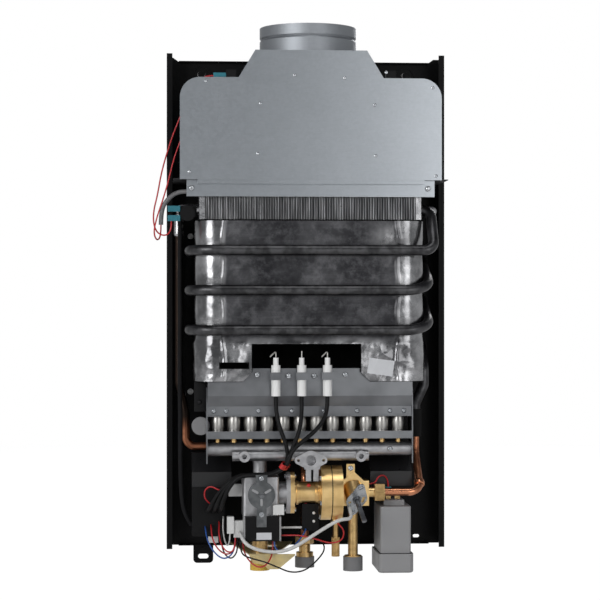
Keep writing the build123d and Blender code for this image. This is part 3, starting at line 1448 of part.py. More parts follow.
# High-tension leads from the electrodes, past the manifold flange and over the gas valve to the igniter
over_z = gas_block_low + gas_block_height + lead_od / 2 + lift
module_front = plate_front - module_depth
lead_drops = [
    [bay(-40, -127, 163), bay(-35, -130, 147), bay(-29, -131, 131), bay(-28, -131, 115)],
    [bay(-12, -129, 163), bay(-15, -133, 148), bay(-22, -136, 133), bay(-27, -136.5, 117)],
    [bay(16, -130, 165), bay(6, -135, 152), bay(-9, -139.5, 140), bay(-23, -142, 129), bay(-28.5, -142, 113)],
]
with BuildPart() as ht_leads:
    for row, (start_x, drop) in enumerate(zip(electrode_xs, lead_drops)):
        k = 2 - row
        y = gas_plate_y + lift + lead_od / 2 + k * (lead_od + 2 * lift)
        route = [
            (start_x, electrode_y, electrode_low), (start_x, electrode_y, electrode_low - 14.0), *drop,
            (-36.0, y - 1.0, over_z + 6.0), (-53.0, y, over_z + 0.2), (-71.0, y, over_z + 0.7),
            (-88.0 - k, y + 0.5, over_z - 1.0), (-100.0 - 3 * k, y + 3.0, over_z - 16.0),
            (-106.0 - 6 * k, y + 9.0, over_z - 34.0), (-109.0 - 7 * k, module_front - 17.0, over_z - 46.0),
            (-109.0 - 7 * k, module_front, over_z - 46.0),
        ]
        add(cord(f"high-tension lead {row + 1}", route, lead_od))
save(ht_leads.part, "ht_leads")

# Thermostat wires: from the flue sensor down the left side, one to the boot and one into the grey sleeve
sensor_y = hood_front + flue_sensor_depth / 2
flue_boot = sensor_left - boot_length
boot_low = boot_zs[0] - boot_width / 2
flue_wire = [
    (flue_boot, sensor_y, sensor_z), (flue_boot - 12.0, sensor_y, sensor_z),
    left(30.0, -1.0, 156.0), left(20.0, 5.0, 132.0), left(9.0, 10.0, 106.0), left(0.0, 14.0, 80.0),
    left(-7.0, 15.0, 54.0), left(-11.0, 15.0, 30.0), left(-16.0, 14.0, 10.0), left(-16.0, 13.0, -6.0),
    left(-11.0, 13.0, -17.0), left(-1.0, 13.0, -20.0),
    (boot_left + 4.5, terminal_y, boot_low - 11.0), (boot_left + 4.5, terminal_y, boot_low),
]
sleeve_end = left(-7.0, 24.0, -6.0)
sleeve_wire = [
    (sensor_left, sensor_y, sensor_z - boot_width + 1.0),
    (sensor_left - 14.0, sensor_y, sensor_z - boot_width + 1.0),
    left(46.0, -5.0, 143.0), left(30.0, -2.0, 120.0), left(17.0, 0.0, 96.0), left(8.0, 2.0, 71.0),
    left(2.0, 3.0, 46.0), left(-5.0, 4.0, 22.0), left(-12.0, 4.0, 2.0), left(-16.0, 7.0, -16.0),
    left(-12.0, 16.0, -26.0), left(-7.0, 24.0, -20.0), sleeve_end,
]
with BuildPart() as thermostat_wires:
    add(cord("flue wire", flue_wire, wire_od))
    add(cord("sleeve wire", sleeve_wire, wire_od))
save(thermostat_wires.part, "thermostat_wires")

# Sleeves: the grey one by the thermostat, and the dark one down the left wall to the igniter
grey_y = chamber_front + 10.0
grey_route = [
    (-pass_end, grey_y, fin_top - 8.0), (-pass_end - 14.0, grey_y, fin_top - 8.0), left(12.0, 16.0, 33.0),
    left(1.0, 20.0, 25.0), left(-7.0, 24.0, 12.0), sleeve_end,
]
wall_x = hot_pipe_x + hot_pipe_od / 2 - 3.0
wall_y = pass_ys[-1] - hot_pipe_od / 2 - sleeve_od - 10.0
wall_drop = (chamber_top - wing_z) / 5
dark_route = [(wall_x, wall_y, chamber_top + 2.0)]
for i in range(1, 5):
    dark_route.append((wall_x - i % 2, wall_y - i % 2, chamber_top - i * wall_drop))
dark_route += [
    (wall_x, wall_y - 1.0, wing_z - 8.0), (wall_x + 1.5, wall_y - 2.0, wing_low - 14.0),
    (wing_left[0] - 8.0, wall_y - 2.0, wing_low - 36.0), (wing_left[0], wall_y - 1.0, module_low + 12.0),
]
with BuildPart() as wire_sleeves:
    add(cord("grey sleeve", grey_route, sleeve_od))
    add(cord("dark sleeve", dark_route, sleeve_od))
save(wire_sleeves.part, "wire_sleeves")

# Harness: wires between the igniter, the connectors, the solenoid, the switch, the battery and the valves
solenoid_low = gas_block_low - solenoid_height
solenoid_right = solenoid_left + solenoid_width
switch_low = switch_top - switch_height


def socket(column, row, drop=0.0):
    """A wire's place in the lower face of the connector beside the solenoid."""
    return (solenoid_left - 11.0 + 3.0 * column, valve_y - 13.0 + 3.0 * row, connector_low - drop)


def port(x, drop, reach=0.0):
    """A wire's place in the front of the igniter module, its drop measured from the module's top."""
    return (x, module_front - reach, wing_low - drop)


plate_end_local = (-6.0, -13.0)
cable_end = tuple(spindle_plane.from_local_coords((*plate_end_local, spindle_plate_thickness)))
cable_turn = tuple(spindle_plane.from_local_coords((*plate_end_local, 20.0)))
white_routes = [
    (cable_od, [
        (solenoid_left - 6.5, valve_y - 15.0, connector_low + 6.0),
        (solenoid_left - 6.5, valve_y - 30.0, connector_low + 6.0), bay(-79, -149, 17), bay(-62, -151, 10),
        bay(-42, -151, 8), bay(-25, -151, 12), bay(-8, -150, 22), bay(14, -149, 36), bay(33, -151, 47),
        cable_turn, cable_end,
    ]),
    (wire_od, [
        port(-104, 36), port(-104, 36, 10), bay(-105, -102, 31), bay(-103, -107, 18), bay(-100, -115, 11),
        (solenoid_left - 17.5, valve_y - 12.0, connector_low - 5.0),
        (solenoid_left - 17.5, valve_y - 12.0, connector_low + 5.0),
    ]),
]
red_routes = [
    [
        port(-118, 21), port(-118, 21, 9), bay(-127, -98, 67), bay(-127, -99, 78), bay(-119, -101, 83),
        (-109.0, valve_y + 5.0, valve_z + 2.0), (block_left - 16.0, valve_y + 5.0, valve_z + 2.0),
    ],
    [
        port(-119, 46), port(-119, 46, 10), bay(-118, -105, 20), bay(-112, -110, 8), bay(-102, -114, 1),
        bay(-94, -116.5, 4), socket(0, 2, 9), socket(0, 2),
    ],
    [
        port(-109, 42), port(-109, 42, 11), bay(-110, -108, 25), bay(-107, -117, 12), bay(-99, -122, 4),
        socket(0, 0, 15), socket(0, 0),
    ],
    [
        socket(3, 2), socket(3, 2, 10), bay(-79, -126, 2), bay(-71, -134, -8), bay(-61, -138, -12),
        bay(-52, -137, -7), bay(-46.5, -131, 4),
        (-46.0, -127.0, solenoid_low - 9.0), (-46.0, -127.0, solenoid_low),
    ],
    [
        (solenoid_right, -132.0, solenoid_low + 6.0), (solenoid_right + 10.0, -132.0, solenoid_low + 6.0),
        bay(-15, -140, 27), bay(4, -144, 23), bay(22, -144, 17), bay(36, -141, 20), bay(40, -134, 31),
        (drain_x, valve_y - drain_boss_radius - 10.0, boss_low + 2.5),
        (drain_x, valve_y - drain_boss_radius, boss_low + 2.5),
    ],
    [
        (contact_x, contact_y, contact_top + boot_width),
        (contact_x, contact_y, contact_top + boot_width + 8.0),
        (contact_x - 6.0, contact_y - 5.0, contact_top + boot_width + 15.0),
        (contact_x - 14.0, valve_y + 11.0, contact_top + boot_width + 13.0),
        (block_right + 10.0, valve_y + 9.0, block_top - 6.0), (block_right, valve_y + 9.0, block_top - 6.0),
    ],
]
black_routes = [
    [
        socket(2, 1), socket(2, 1, 10), bay(-83, -131, 3), bay(-72, -143, 0), bay(-57, -150, -3),
        bay(-42, -153, -9), bay(-26, -153, -16), bay(-9, -152, -14), bay(5, -149, -3), bay(16, -140, 9),
        bay(14, -127, 18), (5.0, valve_y - 2.0, switch_low - 11.0), (5.0, valve_y - 2.0, switch_low),
    ],
    [
        port(-105, 50), port(-105, 50, 9), bay(-107, -100, 16), bay(-104, -106, 2), bay(-96, -111, -5),
        bay(-89, -115, 2), socket(1, 2, 10), socket(1, 2),
    ],
]
blue_routes = [
    [
        port(-126, 48), port(-126, 48, 10), bay(-124, -106, 18), bay(-116, -114, 4), bay(-105, -119, -4),
        bay(-95, -120.5, 1), socket(0, 1, 11), socket(0, 1),
    ],
    [
        (solenoid_right - 6.0, -134.0, solenoid_low), (solenoid_right - 6.0, -134.0, solenoid_low - 9.0),
        bay(-36, -140, 6), bay(-25, -142, 11), bay(-15, -138, 20),
        (-6.0, valve_y - switch_depth / 2 - 10.0, switch_low + 2.0),
        (-6.0, valve_y - switch_depth / 2, switch_low + 2.0),
    ],
]
for name, routes in (
    ("harness_white", white_routes),
    ("harness_red", [(wire_od, route) for route in red_routes]),
    ("harness_black", [(wire_od, route) for route in black_routes]),
    ("harness_blue", [(wire_od, route) for route in blue_routes]),
):
    with BuildPart() as harness:
        for number, (od, route) in enumerate(routes, 1):
            add(cord(f"{name} {number}", route, od))
    save(harness.part, name)
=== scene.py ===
# %% [markdown]
# # A tankless gas water heater with its front cover off
# The solid parts of the heater come from the CAD model, in metres, at their real places. This lesson
# dresses them: it sets up the photograph's camera, writes the finishes as node materials, lays the wires as
# smooth curves, and adds the thin and crumpled things that a solid modeller leaves out.

# %% Load the fixed frame
import math

import bmesh
import bpy
import numpy as np
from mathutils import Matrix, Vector


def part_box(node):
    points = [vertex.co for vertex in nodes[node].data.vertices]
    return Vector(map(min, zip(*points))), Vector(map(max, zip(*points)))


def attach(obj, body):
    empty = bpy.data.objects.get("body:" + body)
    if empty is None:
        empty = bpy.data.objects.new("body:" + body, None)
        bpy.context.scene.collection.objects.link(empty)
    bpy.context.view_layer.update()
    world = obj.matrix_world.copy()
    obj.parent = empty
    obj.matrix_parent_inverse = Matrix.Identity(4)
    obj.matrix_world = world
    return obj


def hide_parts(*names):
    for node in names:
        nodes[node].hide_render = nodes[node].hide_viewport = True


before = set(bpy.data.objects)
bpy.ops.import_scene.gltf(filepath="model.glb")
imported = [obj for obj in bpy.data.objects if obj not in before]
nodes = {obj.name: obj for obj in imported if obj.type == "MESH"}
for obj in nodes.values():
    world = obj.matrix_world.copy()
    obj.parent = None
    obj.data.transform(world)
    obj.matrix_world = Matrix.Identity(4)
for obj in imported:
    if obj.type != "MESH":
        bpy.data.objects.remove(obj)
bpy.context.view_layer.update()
MM = 0.001

# %% [markdown]
# ## Camera
# The photograph was taken from about two and a half metres, a little to the left of the heater and level
# with its middle. A long lens keeps the case nearly free of perspective. The lens is worked out from the
# picture: a focal length of 1985 pixels on a picture 600 pixels wide is 119 mm on a 36 mm sensor.

# %% The photograph's camera
SENSOR = 36.0
FOCAL_PIXELS = 1985.0
PICTURE_WIDTH = 600.0
CAMERA_PLACE = (-0.175, -2.5, -0.0048)
CAMERA_TILT = math.radians(90.144)
CAMERA_TURN = math.radians(-3.9)


def add_object(name, data):
    """An object that shows this data, linked to the scene."""
    made = bpy.data.objects.new(name, data)
    bpy.context.collection.objects.link(made)
    return made


camera_data = bpy.data.cameras.new("photo_camera")
camera_data.sensor_width = SENSOR
camera_data.lens = SENSOR * FOCAL_PIXELS / PICTURE_WIDTH
camera = add_object("photo_camera", camera_data)
camera.location = CAMERA_PLACE
camera.rotation_euler = (CAMERA_TILT, 0.0, CAMERA_TURN)
bpy.context.scene.camera = camera
bpy.context.scene.view_settings.view_transform = "Standard"
print("lens", round(camera_data.lens, 1), "mm")

# %% [markdown]
# ## Shader arithmetic
# A finish is mostly arithmetic on noise: a little more of this colour here, a little rougher there. Wiring
# Math nodes by hand hides that, so a small class wraps a socket and overloads the operators. An expression
# such as `0.4 + 0.2 * spots` then adds its own nodes.

# %% A socket that does sums


class Value:
    """A shader socket that works in Python arithmetic: each operator adds one Math node."""

    def __init__(self, tree, socket):
        self.tree = tree
        self.socket = socket

    def math(self, operation, first, second):
        return self.tree.node("Math", {"operation": operation}, {0: first, 1: second})

    def __add__(self, other):
        return self.math("ADD", self, other)

    def __sub__(self, other):
        return self.math("SUBTRACT", self, other)

    def __rsub__(self, other):
        return self.math("SUBTRACT", other, self)

    def __mul__(self, other):
        return self.math("MULTIPLY", self, other)

    __radd__ = __add__
    __rmul__ = __mul__


print("sockets now do sums")

# %% [markdown]
# Every other node comes from one method, which takes the node's type, its settings and what its sockets
# get. Short methods name the sums that most finishes need.

# %% A tree that makes nodes


class Tree:
    """A node tree, with short ways to add nodes and to do the sums that finishes need."""

    def __init__(self, tree):
        self.tree = tree

    def node(self, kind, settings=None, sockets=None, out=0):
        """Adds any node: its settings first, a ramp's stops among them, then its sockets' values or links."""
        made = self.tree.nodes.new("ShaderNode" + kind)
        for key, value in (settings or {}).items():
            if key == "stops":
                for stop, (position, shade) in zip(made.color_ramp.elements, value):
                    stop.position = position
                    stop.color = shade
            else:
                setattr(made, key, value)
        for key, value in (sockets or {}).items():
            self.join(made.inputs[key], value)
        return Value(self, made.outputs[out])

    def join(self, socket, value):
        """Gives a socket a plain value, or links it to a Value."""
        if isinstance(value, Value):
            self.tree.links.new(value.socket, socket)
        else:
            socket.default_value = value

    def step(self, value, low, high):
        """Maps low..high onto 0..1 with a smooth ramp, clamped outside."""
        limits = {"Value": value, "From Min": low, "From Max": high}
        return self.node("MapRange", {"interpolation_type": "SMOOTHSTEP"}, limits)

    def mix(self, factor, first, second):
        """Blends two colours."""
        return self.node("Mix", {"data_type": "RGBA"}, {0: factor, 6: first, 7: second}, out=2)

    def seen_in_metal(self):
        """One for rays that left a shiny or clear surface, else zero."""
        return self.node("LightPath", out="Is Glossy Ray") + self.node("LightPath", out="Is Transmission Ray")


def colour(red, green, blue):
    return (red, green, blue, 1.0)


print("node tree ready")

# %% [markdown]
# A finish is a material with a Principled shader. Its patterns hang on Object coordinates, which are the
# heater's own metres, so the size of a stain or a grain can be given in millimetres.

# %% A finish


class Finish(Tree):
    """One material: its node tree, its Principled shader, and Object coordinates to hang patterns on."""

    made = 0

    def __init__(self, name):
        self.material = bpy.data.materials.new(name)
        self.material.use_nodes = True
        super().__init__(self.material.node_tree)
        self.shader = self.tree.nodes["Principled BSDF"]
        self.place = self.node("TexCoord", out="Object")
        Finish.made += 1

    def surface(self, **sockets):
        """Sets sockets of the Principled shader, written with underscores for spaces."""
        for key, value in sockets.items():
            self.join(self.shader.inputs[key.replace("_", " ")], value)

    def noise(self, size_mm, detail=3.0, stretch=(1, 1, 1), rough=0.55):
        """Noise from 0 to 1 whose blobs are about size_mm across, stretched along the axes."""
        scale = tuple(1 / (size_mm * MM * longer) for longer in stretch)
        spot = self.node("Mapping", {}, {"Vector": self.place, "Scale": scale})
        return self.node("TexNoise", {}, {"Vector": spot, "Scale": 1.0, "Detail": detail, "Roughness": rough})

    def ridge(self, noise):
        """A sharp valley where a noise crosses its middle value: its distance from that value."""
        return self.node("Math", {"operation": "ABSOLUTE"}, {0: noise - 0.5})

    def bump(self, height, depth_mm, strength=1.0):
        """Turns a height from 0 to 1 into a normal for relief depth_mm deep."""
        relief = {"Height": height, "Distance": depth_mm * MM, "Strength": strength}
        self.surface(Normal=self.node("Bump", {}, relief))


print("finishes so far:", Finish.made)

# %% [markdown]
# ## Metal finishes
# Bare metals are told apart by their colour, by how sharply they reflect, and by the size of their stains.
# Photographs of metal would carry their own light with them, so one function makes the plain ones: broad
# patches shift the colour, a finer noise varies the roughness, and the finest gives a slight relief.

# %% Plain metals


def metal(
    name, light, dark, rough, spread=0.15, patch_mm=30.0, grain_mm=0.8, relief_mm=0.03, stretch=(1, 1, 1),
    bare=1.0,
):
    """Metal: patches between dark and light, varied roughness, a fine grain, and a share that is bare."""
    finish = Finish(name)
    patches = finish.step(finish.noise(patch_mm), 0.35, 0.65)
    grain = finish.noise(grain_mm, 2.0, stretch)
    finish.surface(Base_Color=finish.mix(patches, colour(*dark), colour(*light)), Metallic=bare)
    finish.surface(Roughness=rough - spread / 2 + spread * finish.noise(patch_mm / 4))
    finish.bump(grain, relief_mm)
    return finish


dull_tin = metal(
    "dull_tin", (0.105, 0.105, 0.109), (0.046, 0.046, 0.048), rough=0.38, spread=0.2, patch_mm=14.0
)
plate_tin = metal(
    "bright_tin_plate", (0.56, 0.56, 0.57), (0.32, 0.32, 0.33), rough=0.28, spread=0.2, patch_mm=12.0
)
plain_steel = metal(
    "plain_steel", (0.25, 0.258, 0.27), (0.18, 0.185, 0.195), rough=0.32, spread=0.12,
    patch_mm=60.0, grain_mm=0.5, relief_mm=0.01, stretch=(8, 1, 1),
)
bright_steel = metal(
    "bright_steel", (0.46, 0.45, 0.43), (0.38, 0.37, 0.35), rough=0.32, spread=0.08, patch_mm=8.0,
    grain_mm=0.5, relief_mm=0.004,
)
cast_metal = metal(
    "cast_aluminium", (0.48, 0.48, 0.49), (0.36, 0.36, 0.37), rough=0.42, patch_mm=14.0, grain_mm=0.9
)
grey_zinc = metal("grey_zinc", (0.17, 0.177, 0.182), (0.11, 0.116, 0.12), rough=0.36, patch_mm=10.0)
zinc_plate = metal(
    "zinc_plate", (0.56, 0.58, 0.60), (0.40, 0.42, 0.44), rough=0.26, spread=0.12, patch_mm=10.0
)
# Nearly black zinc: a dark screw, and on the divider shelf painted shade where it lies between the hood and
# the chamber.
dark_zinc_and_shade = metal(
    "dark_zinc_and_shade", (0.05, 0.05, 0.052), (0.025, 0.025, 0.026), rough=0.6, spread=0.1, patch_mm=20.0
)
cast_brass = metal(
    "cast_brass", (0.95, 0.67, 0.31), (0.82, 0.56, 0.24), rough=0.31, spread=0.1, patch_mm=14.0,
    relief_mm=0.006,
)
turned_brass = metal(
    "turned_brass", (0.66, 0.45, 0.20), (0.50, 0.33, 0.14), rough=0.30, patch_mm=7.0, grain_mm=0.4,
    relief_mm=0.006, stretch=(1, 1, 0.3),
)
yellow_plate = metal(
    "yellow_plating", (0.72, 0.58, 0.27), (0.58, 0.48, 0.26), rough=0.36, spread=0.2, patch_mm=10.0,
    bare=0.3,
)
print("finishes so far:", Finish.made)

# %% [markdown]
# Galvanised sheet has a faint spangle: zinc crystals a few millimetres wide, each a little lighter or
# darker. Plain noise has no such edges, so Voronoi cells give one random shade per crystal. A rolled grain
# runs along the sheet. The collar is rolled after coating, which leaves it duller.

# %% Galvanised sheet
CRYSTAL_MM = 3.2


def zinc_sheet(name, light, dark, rough):
    """Zinc-coated sheet: a random shade for each crystal, a rolled grain and broad clouds."""
    finish = Finish(name)
    cells = {"Vector": finish.place, "Scale": 1 / (CRYSTAL_MM * MM)}
    crystal = finish.node("SeparateColor", {}, {0: finish.node("TexVoronoi", {}, cells, out="Color")})
    rolling = finish.noise(0.7, 2.0, (14, 14, 1))
    shade = 0.15 * crystal + 0.4 * rolling + 0.45 * finish.noise(90.0, 2.0)
    finish.surface(Base_Color=finish.mix(shade, colour(*dark), colour(*light)), Metallic=1.0)
    finish.surface(Roughness=rough + 0.025 * crystal)
    finish.bump(rolling, 0.015)
    return finish


galvanised = zinc_sheet("galvanised_sheet", (0.50, 0.53, 0.565), (0.36, 0.385, 0.41), rough=0.28)
rolled_zinc = zinc_sheet("rolled_zinc", (0.36, 0.38, 0.405), (0.27, 0.285, 0.305), rough=0.52)
print("galvanised sheet: crystals", CRYSTAL_MM, "mm")

# %% [markdown]
# The chamber is wrapped in thin tinned sheet that creases as it is bent round the corners. Ridges of noise in
# two sizes give the broken, bright and dark reflections of foil, which a plain bump would blur. The sheet is
# smooth where it is held flat and crumpled where it is loose, which an attribute of its mesh says. Where flat
# it is dark and tarnished, partly a painted dark reflection; where loose it is much lighter, partly a painted
# highlight. The chamber's shell is nearly black.

# %% Crumpled tin
FOLD_MM = 20.0
CREASE_MM = 7.0
crumpled_tin = Finish("crumpled_tin")
loose = crumpled_tin.node("Attribute", {"attribute_name": "loose"}, out="Fac")
folds = crumpled_tin.ridge(crumpled_tin.noise(FOLD_MM, 2.0))
creases = crumpled_tin.ridge(crumpled_tin.noise(CREASE_MM, 3.0))
tarnish = crumpled_tin.step(crumpled_tin.noise(38.0, 5.0), 0.36, 0.68)
scratches = crumpled_tin.step(crumpled_tin.noise(3.0, 4.0, (14, 1, 1)), 0.52, 0.75)
smears = crumpled_tin.step(crumpled_tin.noise(13.0, 7.0, rough=0.68), 0.42, 0.74)
dirt = 0.4 * tarnish + 0.14 * scratches + 0.5 * smears
# Flat sheet: random tarnish and smears over a dark base that is partly a painted dark reflection.
flat_tarnish_and_shade_stops = [(0.0, colour(0.032, 0.032, 0.035)), (1.0, colour(0.15, 0.15, 0.158))]
flat_tarnish_and_shade = crumpled_tin.node("ValToRGB", {"stops": flat_tarnish_and_shade_stops}, {0: dirt})
# Loose sheet: the same tarnish, much lighter, partly a painted highlight on its folds, corners and foot.
loose_tarnish_and_highlight = crumpled_tin.mix(tarnish, colour(0.15, 0.15, 0.155), colour(0.48, 0.48, 0.49))
crumpled_tin.surface(
    Base_Color=crumpled_tin.mix(loose, flat_tarnish_and_shade, loose_tarnish_and_highlight),
    Metallic=1.0, Roughness=0.36 - 0.16 * loose + 0.06 * tarnish,
)
crumpled_tin.bump((0.05 + 0.25 * loose) * (1.6 * folds + 0.25 * creases), 1.6, 0.7)
# The chamber shell is nearly black all over.
near_black_steel = metal("near_black_steel", (0.012, 0.012, 0.012), (0.006, 0.006, 0.006), rough=0.7)
print("crumpled tin: creases", CREASE_MM, "mm, folds", FOLD_MM, "mm")

# %% [markdown]
# Each fin is a separate stamping, so its edge is a little brighter or darker than its neighbour's. One
# finish can do that for all of them with a noise that is fine across the fins and long down them.

# %% Fins
fin_metal = Finish("fin_edges")
fin_shade = fin_metal.step(fin_metal.noise(3.6, 1.0, (1, 30, 18)), 0.42, 0.66)
splash = fin_metal.step(fin_metal.noise(22.0), 0.5, 0.75)
fin_metal.surface(
    Base_Color=fin_metal.mix(fin_shade, colour(0.22, 0.22, 0.225), colour(0.55, 0.55, 0.56)),
    Metallic=1.0, Roughness=0.46 - 0.22 * splash,
)
fin_metal.bump(fin_metal.noise(2.0, 3.0, (1, 1, 4)), 0.3, 0.6)
print("finishes so far:", Finish.made)

# %% [markdown]
# Copper pipe is bright where it was handled and brown in patches. Higher up, where the pipes rise into the
# dark of the tray, it is painted nearly black as painted shade. Height says where the painted shade begins,
# so both pipes share one finish.

# %% Copper
# Heights in millimetres where the painted shade on the copper begins and where it is full.
SHADE_STARTS, SHADE_FULL = -168.0, -140.0
copper = Finish("copper_pipe")
brown = copper.step(copper.noise(34.0, 3.0), 0.38, 0.62)
height_mm = 1 / MM * copper.node("SeparateXYZ", {}, {0: copper.place}, out="Z")
# Nearly black above this height: painted shade where the pipes rise into the dark tray.
painted_shade = copper.step(height_mm, SHADE_STARTS, SHADE_FULL)
clean_copper = copper.mix(brown, colour(0.66, 0.28, 0.15), colour(0.30, 0.12, 0.065))
copper.surface(
    Base_Color=copper.mix(painted_shade, clean_copper, colour(0.022, 0.015, 0.012)),
    Metallic=1.0, Roughness=0.24 + 0.2 * brown,
)
copper.bump(copper.noise(1.5), 0.04)
print("copper: scorched above", SHADE_FULL, "mm")

# %% [markdown]
# ## Paint, plastic and rubber
# These are not metal, so the colour is on the surface and the gloss is clear. The relief tells them apart:
# enamel has a soft orange peel, moulded plastic a fine grain, foam a coarse one. Mouldings share one grain
# and wire covers another, so each kind has a function that fills it in.

# %% Paint, plastic and rubber
GLOSS_SPREAD = 0.12


def skin(name, base, rough, grain_mm, relief_mm, fade=0.82, shine=0.5):
    """Paint, plastic or rubber: a colour that fades in patches, a grain, varied gloss and a shine."""
    finish = Finish(name)
    patches = finish.noise(24.0, 2.0)
    faded = tuple(channel * fade for channel in base)
    finish.surface(Base_Color=finish.mix(patches, colour(*faded), colour(*base)), Specular_IOR_Level=shine)
    finish.surface(Roughness=rough - GLOSS_SPREAD / 2 + GLOSS_SPREAD * finish.noise(6.0))
    finish.bump(finish.noise(grain_mm, 2.0), relief_mm)
    return finish


def moulded(name, base, rough, relief_mm=0.03, **look):
    """Plastic from a mould, with the fine grain of the mould's walls."""
    return skin(name, base, rough, grain_mm=0.5, relief_mm=relief_mm, **look)


def wire_cover(name, base, rough=0.36, **look):
    """The drawn cover of a wire, which is smoother than a moulding."""
    return skin(name, base, rough, grain_mm=0.8, relief_mm=0.02, **look)


enamel = skin("black_enamel", (0.003, 0.003, 0.0033), rough=0.42, grain_mm=1.6, relief_mm=0.03, shine=0.12)
wing_enamel = skin("satin_enamel", (0.010, 0.010, 0.011), rough=0.30, grain_mm=1.6, relief_mm=0.03)
black_plastic = moulded("black_plastic", (0.006, 0.006, 0.0065), rough=0.48, shine=0.14)
grey_plastic = moulded("grey_plastic", (0.27, 0.27, 0.275), rough=0.46, fade=0.94)
cap_plastic = moulded("cap_plastic", (0.17, 0.17, 0.174), rough=0.5, fade=0.9)
pale_plastic = moulded("pale_plastic", (0.66, 0.66, 0.65), rough=0.42, relief_mm=0.02, fade=0.93)
teal_plastic = skin("teal_plastic", (0.015, 0.17, 0.22), rough=0.38, grain_mm=0.6, relief_mm=0.03)
yellow_plastic = moulded("yellow_plastic", (0.74, 0.48, 0.06), rough=0.44)
red_plastic = moulded("red_plastic", (0.55, 0.02, 0.02), rough=0.38, relief_mm=0.02)
white_ceramic = skin("white_ceramic", (0.80, 0.80, 0.79), rough=0.34, grain_mm=0.4, relief_mm=0.02, fade=0.95)
pipe_foam = skin("pipe_foam", (0.008, 0.008, 0.008), rough=0.85, grain_mm=1.2, relief_mm=0.25, shine=0.2)
blank_label = skin("blank_label", (0.58, 0.59, 0.61), rough=0.55, grain_mm=0.6, relief_mm=0.01, fade=0.95)
red_cover = wire_cover("red_wire_cover", (0.50, 0.015, 0.02))
black_cover = wire_cover("black_wire_cover", (0.007, 0.007, 0.007), rough=0.40, shine=0.3)
blue_cover = wire_cover("blue_wire_cover", (0.02, 0.09, 0.36))
white_cover = wire_cover("white_wire_cover", (0.60, 0.60, 0.59), rough=0.40, fade=0.94)
grey_sleeve = skin("grey_sleeve", (0.16, 0.16, 0.165), rough=0.5, grain_mm=1.0, relief_mm=0.05)
dark_sleeve = skin("dark_sleeve", (0.010, 0.010, 0.011), rough=0.7, grain_mm=1.0, relief_mm=0.05, shine=0.12)
lead_cover = skin(
    "silicone_lead", (0.006, 0.006, 0.0065), rough=0.5, grain_mm=1.2, relief_mm=0.04, shine=0.18
)
print("finishes so far:", Finish.made)

# %% [markdown]
# ## Dressing the CAD parts
# Each CAD part is of one material, so it needs one finish. The finish is assigned to the material slot of
# the part's object, not to its mesh, so the mesh itself stays untouched.

# %% Finishes for the CAD parts
FINISH_OF = {
    enamel: ["back_tray"],
    wing_enamel: ["support_wings"],
    galvanised: ["hood_body", "flue_shield", "flue_baffle"],
    rolled_zinc: ["flue_collar"],
    # The divider shelf is painted nearly black as painted shade.
    dark_zinc_and_shade: ["divider_shelf"],
    grey_zinc: ["gas_valve_plate"],
    zinc_plate: ["spindle_plate", "sheet_screws"],
    fin_metal: ["fin_block"],
    plate_tin: ["fin_end_plates", "fin_tubes"],
    dull_tin: ["heating_coil"],
    near_black_steel: ["combustion_shell"],
    plain_steel: ["burner_front_panel", "burner_cradle", "electrode_bracket", "water_spindle", "gas_spindle"],
    bright_steel: ["burner_bars", "electrode_pins"],
    cast_metal: ["gas_manifold", "gas_valve_body"],
    white_ceramic: ["electrode_ceramics"],
    copper: ["hot_pipe", "cold_pipe"],
    cast_brass: ["water_valve_body", "water_valve_block"],
    turned_brass: ["union_nut", "pipe_unions", "gas_jets", "push_rod", "drain_tube", "drain_knob",
                   "battery_contacts"],
    pipe_foam: ["pipe_insulation", "diaphragm"],
    black_plastic: ["igniter_module", "micro_switch", "gas_solenoid", "thermostats", "battery_cells"],
    grey_plastic: ["battery_box", "battery_lid", "pressure_switch"],
    cap_plastic: ["cold_cap", "hot_cap"],
    yellow_plastic: ["gas_cap"],
    yellow_plate: ["pipe_bracket"],
    teal_plastic: ["terminal_boots"],
    pale_plastic: ["wire_connectors"],
    red_plastic: ["switch_button"],
}
for finish, names in FINISH_OF.items():
    for name in names:
        material_slot = nodes[name].material_slots[0]
        material_slot.link = "OBJECT"
        material_slot.material = finish.material
print("dressed nodes:", sum(len(names) for names in FINISH_OF.values()))

# %% [markdown]
# ## Wires
# A wire takes a smooth line between the places that hold it. Straight tubes would show their joints, so
# each wire is a NURBS curve whose control points are the route of the CAD tube, with a round bevel for its
# cover. Points are in millimetres, in the heater's frame. The curve starts and ends exactly at the first
# and last point, where the wire meets its terminal.

# %% One wire as a curve


def lay_wire(name, node, diameter, finish, route):
    """A round wire along a NURBS curve of order 3 whose control points are the route."""
    curve = bpy.data.curves.new(name, "CURVE")
    curve.dimensions = "3D"
    curve.bevel_depth = diameter * MM / 2
    curve.bevel_resolution = 3
    curve.resolution_u = 8
    curve.use_fill_caps = True
    spline = curve.splines.new("NURBS")
    spline.points.add(len(route) - 1)
    controls = np.ones((len(route), 4))
    controls[:, :3] = np.array(route, float) * MM
    spline.points.foreach_set("co", controls.ravel())
    spline.order_u = 3
    spline.use_endpoint_u = True
    curve.materials.append(finish.material)
    wire = add_object(name, curve)
    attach(wire, "cabinet")
    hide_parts(node)


print("wires follow the CAD routes")

# %% [markdown]
# The three high-tension leads drop from the ceramics, close up in front of the manifold, lie side by side
# over the gas valve and turn down to the igniter. Each has its own drop, and the rest of the way is one
# route, moved over by the lead's rank from the front.

